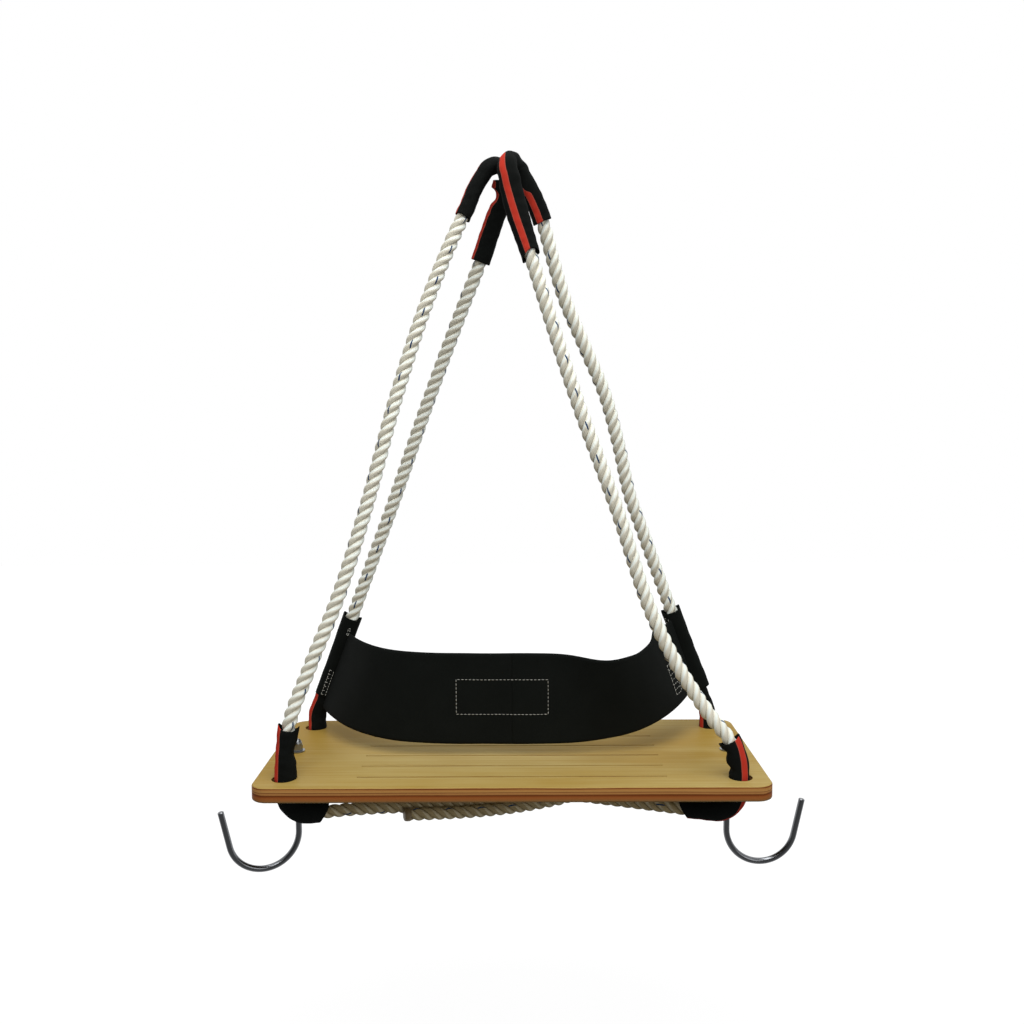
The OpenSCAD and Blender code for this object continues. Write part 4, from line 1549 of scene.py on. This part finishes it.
    def blend_line(self, side: int) -> tuple[Array, Array]:
        """Two points on a line square to the band's end, at the two follow distances from it.

        Args:
            side: -1 for the left end, 1 for the right one.

        Returns:
            The point farther from the end, and the point nearer to it.
        """
        low = self.end_point(side, self.low_corner[side > 0])
        high = self.end_point(side, self.high_corner[side > 0])
        rise = unit((high - low) * (1, 0, 1))
        out = point(side * abs(rise[2]), 0, abs(rise[0]))
        end = (low + high) / 2 * (1, 0, 1)
        return end - out * self.follow[0], end - out * self.follow[1]

    def build(self) -> None:
        """Makes the two halves, the loops and the sewing."""
        for side, body in ((-1, Body.LOOP_LEFT), (1, Body.LOOP_RIGHT)):
            half = self.half(side)
            start, end = self.blend_line(side)
            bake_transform(half)
            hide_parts("back_band")
            middle = self.surface(np.linspace(0, 1, self.span_points) * side, np.array([0.5]))[0][:, 0]
            tube = self.loop(side)
            loop = tube.build(self.band)
            seam = Seam().build(f"{loop.name}_stitches", self.loop_seams(tube, side), self.thread)
            for obj in (loop, seam):
                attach(obj, body.value)
                LOG.info("%s", obj.name)
        rungs = self.rungs(self.ladder_place, self.ladder_rungs)
        ladder = Seam().build("back_band_ladder_stitches", rungs, self.thread)
        start, end = self.blend_line(1)
        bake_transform(ladder)
        fine = Seam(length=3.4, gap=1.3, width=0.8)
        patch = fine.build("back_band_patch_stitches", self.patch(), self.thread)
        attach(patch, Body.BAND.value)
        for obj in (ladder, patch):
            LOG.info("%s", obj.name)

    def loop(self, side: int) -> WebbingTube:
        """End of the band sewn round its rope.

        Args:
            side: -1 for the left loop, 1 for the right one.

        Returns:
            The loop, as a tube on the rear rope.
        """
        at = self.loop_at[side > 0]
        route = along(self.leg(side), np.linspace(at, at + self.loop_len, self.loop_points))
        word = "left" if side < 0 else "right"
        crown = self.routes.left_loop if side < 0 else self.routes.right_loop
        face = [(0, crown.turn_deg), (1, crown.turn_deg)]
        return WebbingTube(
            f"band_loop_{word}_webbing", f"band_loop_{word}", route, crown.across,
            wide=self.loop_wide[side > 0], deep=[(0, self.loop_deep), (1, self.loop_deep)],
            face_deg=face, stripe_deg=face,
            wrinkle=0.18, wrinkle_mm=30, seed=31 + side, tips=(0.5, 4.0), fade=9.0,
        )

    def on_front(self, u: Array, h: Array) -> Line:
        """Line on the band's front.

        Args:
            u: Shares across, one for each point.
            h: Shares up, one for each point.

        Returns:
            Points of the front, and its outward directions there.
        """
        mid, normal = self.surface(u, h)
        k = np.arange(len(u))
        return mid[k, k] + normal[k, k] * (self.thick / 2), normal[k, k]

    def patch(self) -> list[Line]:
        """Sewn rectangle in the middle of the band's front.

        Returns:
            Its four sides.
        """
        h = [(v - self.low) / self.height for v in self.patch_up]
        reach = np.abs(self.surface(np.array([-1.0, 1.0]), np.array(h))[0][..., 0])
        u = np.array(self.patch_x)[:, None] / reach
        corners = [(u[0, 0], h[0]), (u[1, 0], h[0]), (u[1, 1], h[1]), (u[0, 1], h[1]), (u[0, 0], h[0])]
        lines = []
        for (u0, h0), (u1, h1) in zip(corners, corners[1:]):
            side = (np.linspace(*ends, self.patch_points) for ends in ((u0, u1), (h0, h1)))
            lines.append(self.on_front(*side))
        return lines

    def ladder_place(self, a: Array, b: Array) -> Line:
        """Line at shares along and across the ladder that closes the right loop, on the band's front."""
        first, last, beside = np.array(self.ladder_uh)
        return self.on_front(*(first + np.outer(a, last - first) + np.outer(b, beside - first)).T)

    def loop_place(self, a: Array, b: Array, tube: WebbingTube, span: Sequence[float]) -> Line:
        """Line at shares along and across a ladder on a loop.

        Args:
            a: Shares along the ladder, one for each point.
            b: Shares across it, one for each point.
            tube: The loop.
            span: Start and end along the loop, and start and end round it from its face.

        Returns:
            Points of the loop's outside, and its outward directions there.
        """
        s = span[0] + (span[1] - span[0]) * a
        theta = np.radians(tube.face_deg[0][1] + span[2] + (span[3] - span[2]) * b)
        base, ring, _, radius = tube.shape(s, theta[:, None])
        return (base + ring * radius[..., None])[:, 0], ring[:, 0]

    def rungs(self, place: Callable[[Array, Array], Line], count: int) -> list[Line]:
        """Lines of a ladder: two rails, and rungs between them.

        Args:
            place: Gives points and outward directions at shares along and across the ladder.
            count: Number of rungs.

        Returns:
            Points and outward directions of each line.
        """
        t = np.linspace(0, 1, self.rung_points)
        lines = [place(t, np.full_like(t, b)) for b in (0.0, 1.0)]
        return lines + [place(np.full_like(t, a), t) for a in np.linspace(*self.rung_span, count)]

    def loop_seams(self, tube: WebbingTube, side: int) -> list[Line]:
        """Ladder and stray stitches on a loop's inner side, where the band's end is turned back and sewn.

        Args:
            tube: The loop.
            side: -1 for the left loop, 1 for the right one.

        Returns:
            Points and outward directions of each line.
        """
        lines = []
        for *span, count in self.seams[side > 0]:
            lines += self.rungs(partial(self.loop_place, tube=tube, span=span), count)
        return lines


@dataclass
class Hardware:
    """Seat board, hooks and fasteners, whose solids are already right and only take their finishes."""

    finishes: Finishes

    def build(self) -> None:
        """Puts the finishes on the solids."""
        for name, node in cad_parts.items():
            if name == "seat_board":
                self.dress(node, self.finishes.ply)
            elif name.startswith("hook_"):
                self.dress(node, self.finishes.rod)
            elif "nut" in name or "washer" in name:
                self.dress(node, self.finishes.zinc)

    def dress(self, node: bpy.types.Object, finish: bpy.types.Material) -> None:
        """Sets a solid's material.

        Args:
            node: The solid.
            finish: Its new material.
        """
        node.data.materials.clear()
        node.data.materials.append(finish)
        LOG.info("%s: %s", node.name, finish.name)


@dataclass
class Studio:
    """Camera at the photograph's place, soft lamps and a pale floor.

    A lamp is its name, its place, its size and its watts. Mirrors find the world dim up to the first Y of
    room_y and white from the second on, as the Y of a direction.
    """

    eye: tuple[float, float, float] = (6.6, -1310.6, -288.0)
    pitch_deg: float = 5.41
    yaw_deg: float = -0.23
    roll_deg: float = -0.28
    focal_px: float = 1053.0
    frame_px: float = 1024.0
    clip: tuple[float, float] = (10, 50_000)
    floor_z: float = -1350.0
    floor_half: float = 6000.0
    ambient: float = 0.46
    room_y: tuple[float, float] = (-0.6, 0.1)
    aim: tuple[float, float, float] = (0, 0, -450)
    lamps: tuple[tuple[str, tuple[float, float, float], float, float], ...] = (
        ("key_lamp", (-100, -1600, 1400), 1400, 30),
        ("fill_lamp", (1600, -1800, 200), 1600, 12),
        ("top_lamp", (200, -300, 1600), 1200, 20),
    )

    def camera(self) -> None:
        """Camera turned by yaw, pitch and roll, with the view angle of its focal length in pixels."""
        pitch, yaw, roll = (math.radians(a) for a in (self.pitch_deg, self.yaw_deg, self.roll_deg))
        ahead = point(math.sin(yaw) * math.cos(pitch), math.cos(yaw) * math.cos(pitch), -math.sin(pitch))
        right = point(math.cos(yaw), -math.sin(yaw), 0)
        up = np.cross(right, ahead)
        across = right * math.cos(roll) + up * math.sin(roll)
        tall = up * math.cos(roll) - right * math.sin(roll)
        data = bpy.data.cameras.new("photo_camera")
        data.sensor_fit = "AUTO"
        data.angle = 2 * math.atan(self.frame_px / 2 / self.focal_px)
        data.clip_start, data.clip_end = (distance * MM for distance in self.clip)
        obj = bpy.data.objects.new("photo_camera", data)
        place = np.eye(4)
        place[:3, 0], place[:3, 1], place[:3, 2] = across, tall, -ahead
        place[:3, 3] = np.array(self.eye) * MM
        obj.matrix_world = Matrix(place.tolist())
        bpy.context.scene.collection.objects.link(obj)
        bpy.context.scene.camera = obj

    def lamp(self, name: str, place: Sequence[float], size: float, watts: float) -> None:
        """Square soft lamp that faces the middle of the chair.

        Args:
            name: Name of the lamp.
            place: Where it stands, not right above the middle.
            size: Length of its side.
            watts: Its power.
        """
        data = bpy.data.lights.new(name, "AREA")
        data.size, data.energy = size * MM, watts
        obj = bpy.data.objects.new(name, data)
        at = point(*place) * MM
        back = unit(at - point(*self.aim) * MM)
        right = unit(np.cross(UP, back))
        turn = np.eye(4)
        turn[:3, 0], turn[:3, 1], turn[:3, 2], turn[:3, 3] = right, np.cross(back, right), back, at
        obj.matrix_world = Matrix(turn.tolist())
        bpy.context.scene.collection.objects.link(obj)

    def build(self) -> None:
        """Lamps, world and floor. The world looks white, and mirrors find it darker on the camera's side."""
        bpy.context.scene.view_settings.view_transform = "Standard"
        for lamp in self.lamps:
            self.lamp(*lamp)
        world = bpy.data.worlds.new("studio_world")
        bpy.context.scene.world = world
        world.use_nodes = True
        tree = world.node_tree
        tree.nodes.clear()
        diffuse = add_node(tree, "LightPath").outputs["Is Diffuse Ray"]
        plain = add_node(tree, "Math", {0: diffuse, 1: self.ambient}, operation="MULTIPLY").outputs[0]
        seen = seen_rays(tree, self.room_y)
        power = add_node(tree, "Math", {0: seen, 1: plain}, operation="MAXIMUM").outputs[0]
        light = add_node(tree, "Background", {"Color": linear("#ffffff"), "Strength": power})
        out = add_node(tree, "OutputWorld")
        tree.links.new(light.outputs[0], out.inputs[0])
        self.floor()

    def floor(self) -> None:
        """Wide white floor well below the hooks."""
        half, z = self.floor_half, self.floor_z
        verts = np.array([[-half, -half, z], [half, -half, z], [half, half, z], [-half, half, z]])
        # Matt backdrop paper: hardly any gloss, and grey enough for the chair's faint shadow to show
        finish = BackdropFinish("white_studio_paper", "#606060", roughness=0.9, specular=0.1).build()
        make_piece("studio_floor", verts, [[0, 1, 2, 3]], None, finish)


def main() -> None:
    """Builds the camera and the cords first, then the other pieces."""
    logging.basicConfig(level=logging.INFO, format="%(message)s")
    studio = Studio()
    studio.camera()
    finishes = Finishes()
    routes = RopeRoutes()
    sleeves = Sleeves(routes, finishes.sleeve)
    RopeWork(routes, sleeves, finishes.rope, finishes.rope_shaded_under, finishes.rope_end).build()
    sleeves.build()
    BackBand(routes, finishes.band, finishes.thread).build()
    Hardware(finishes).build()
    studio.build()


if __name__ == "__main__":
    main()
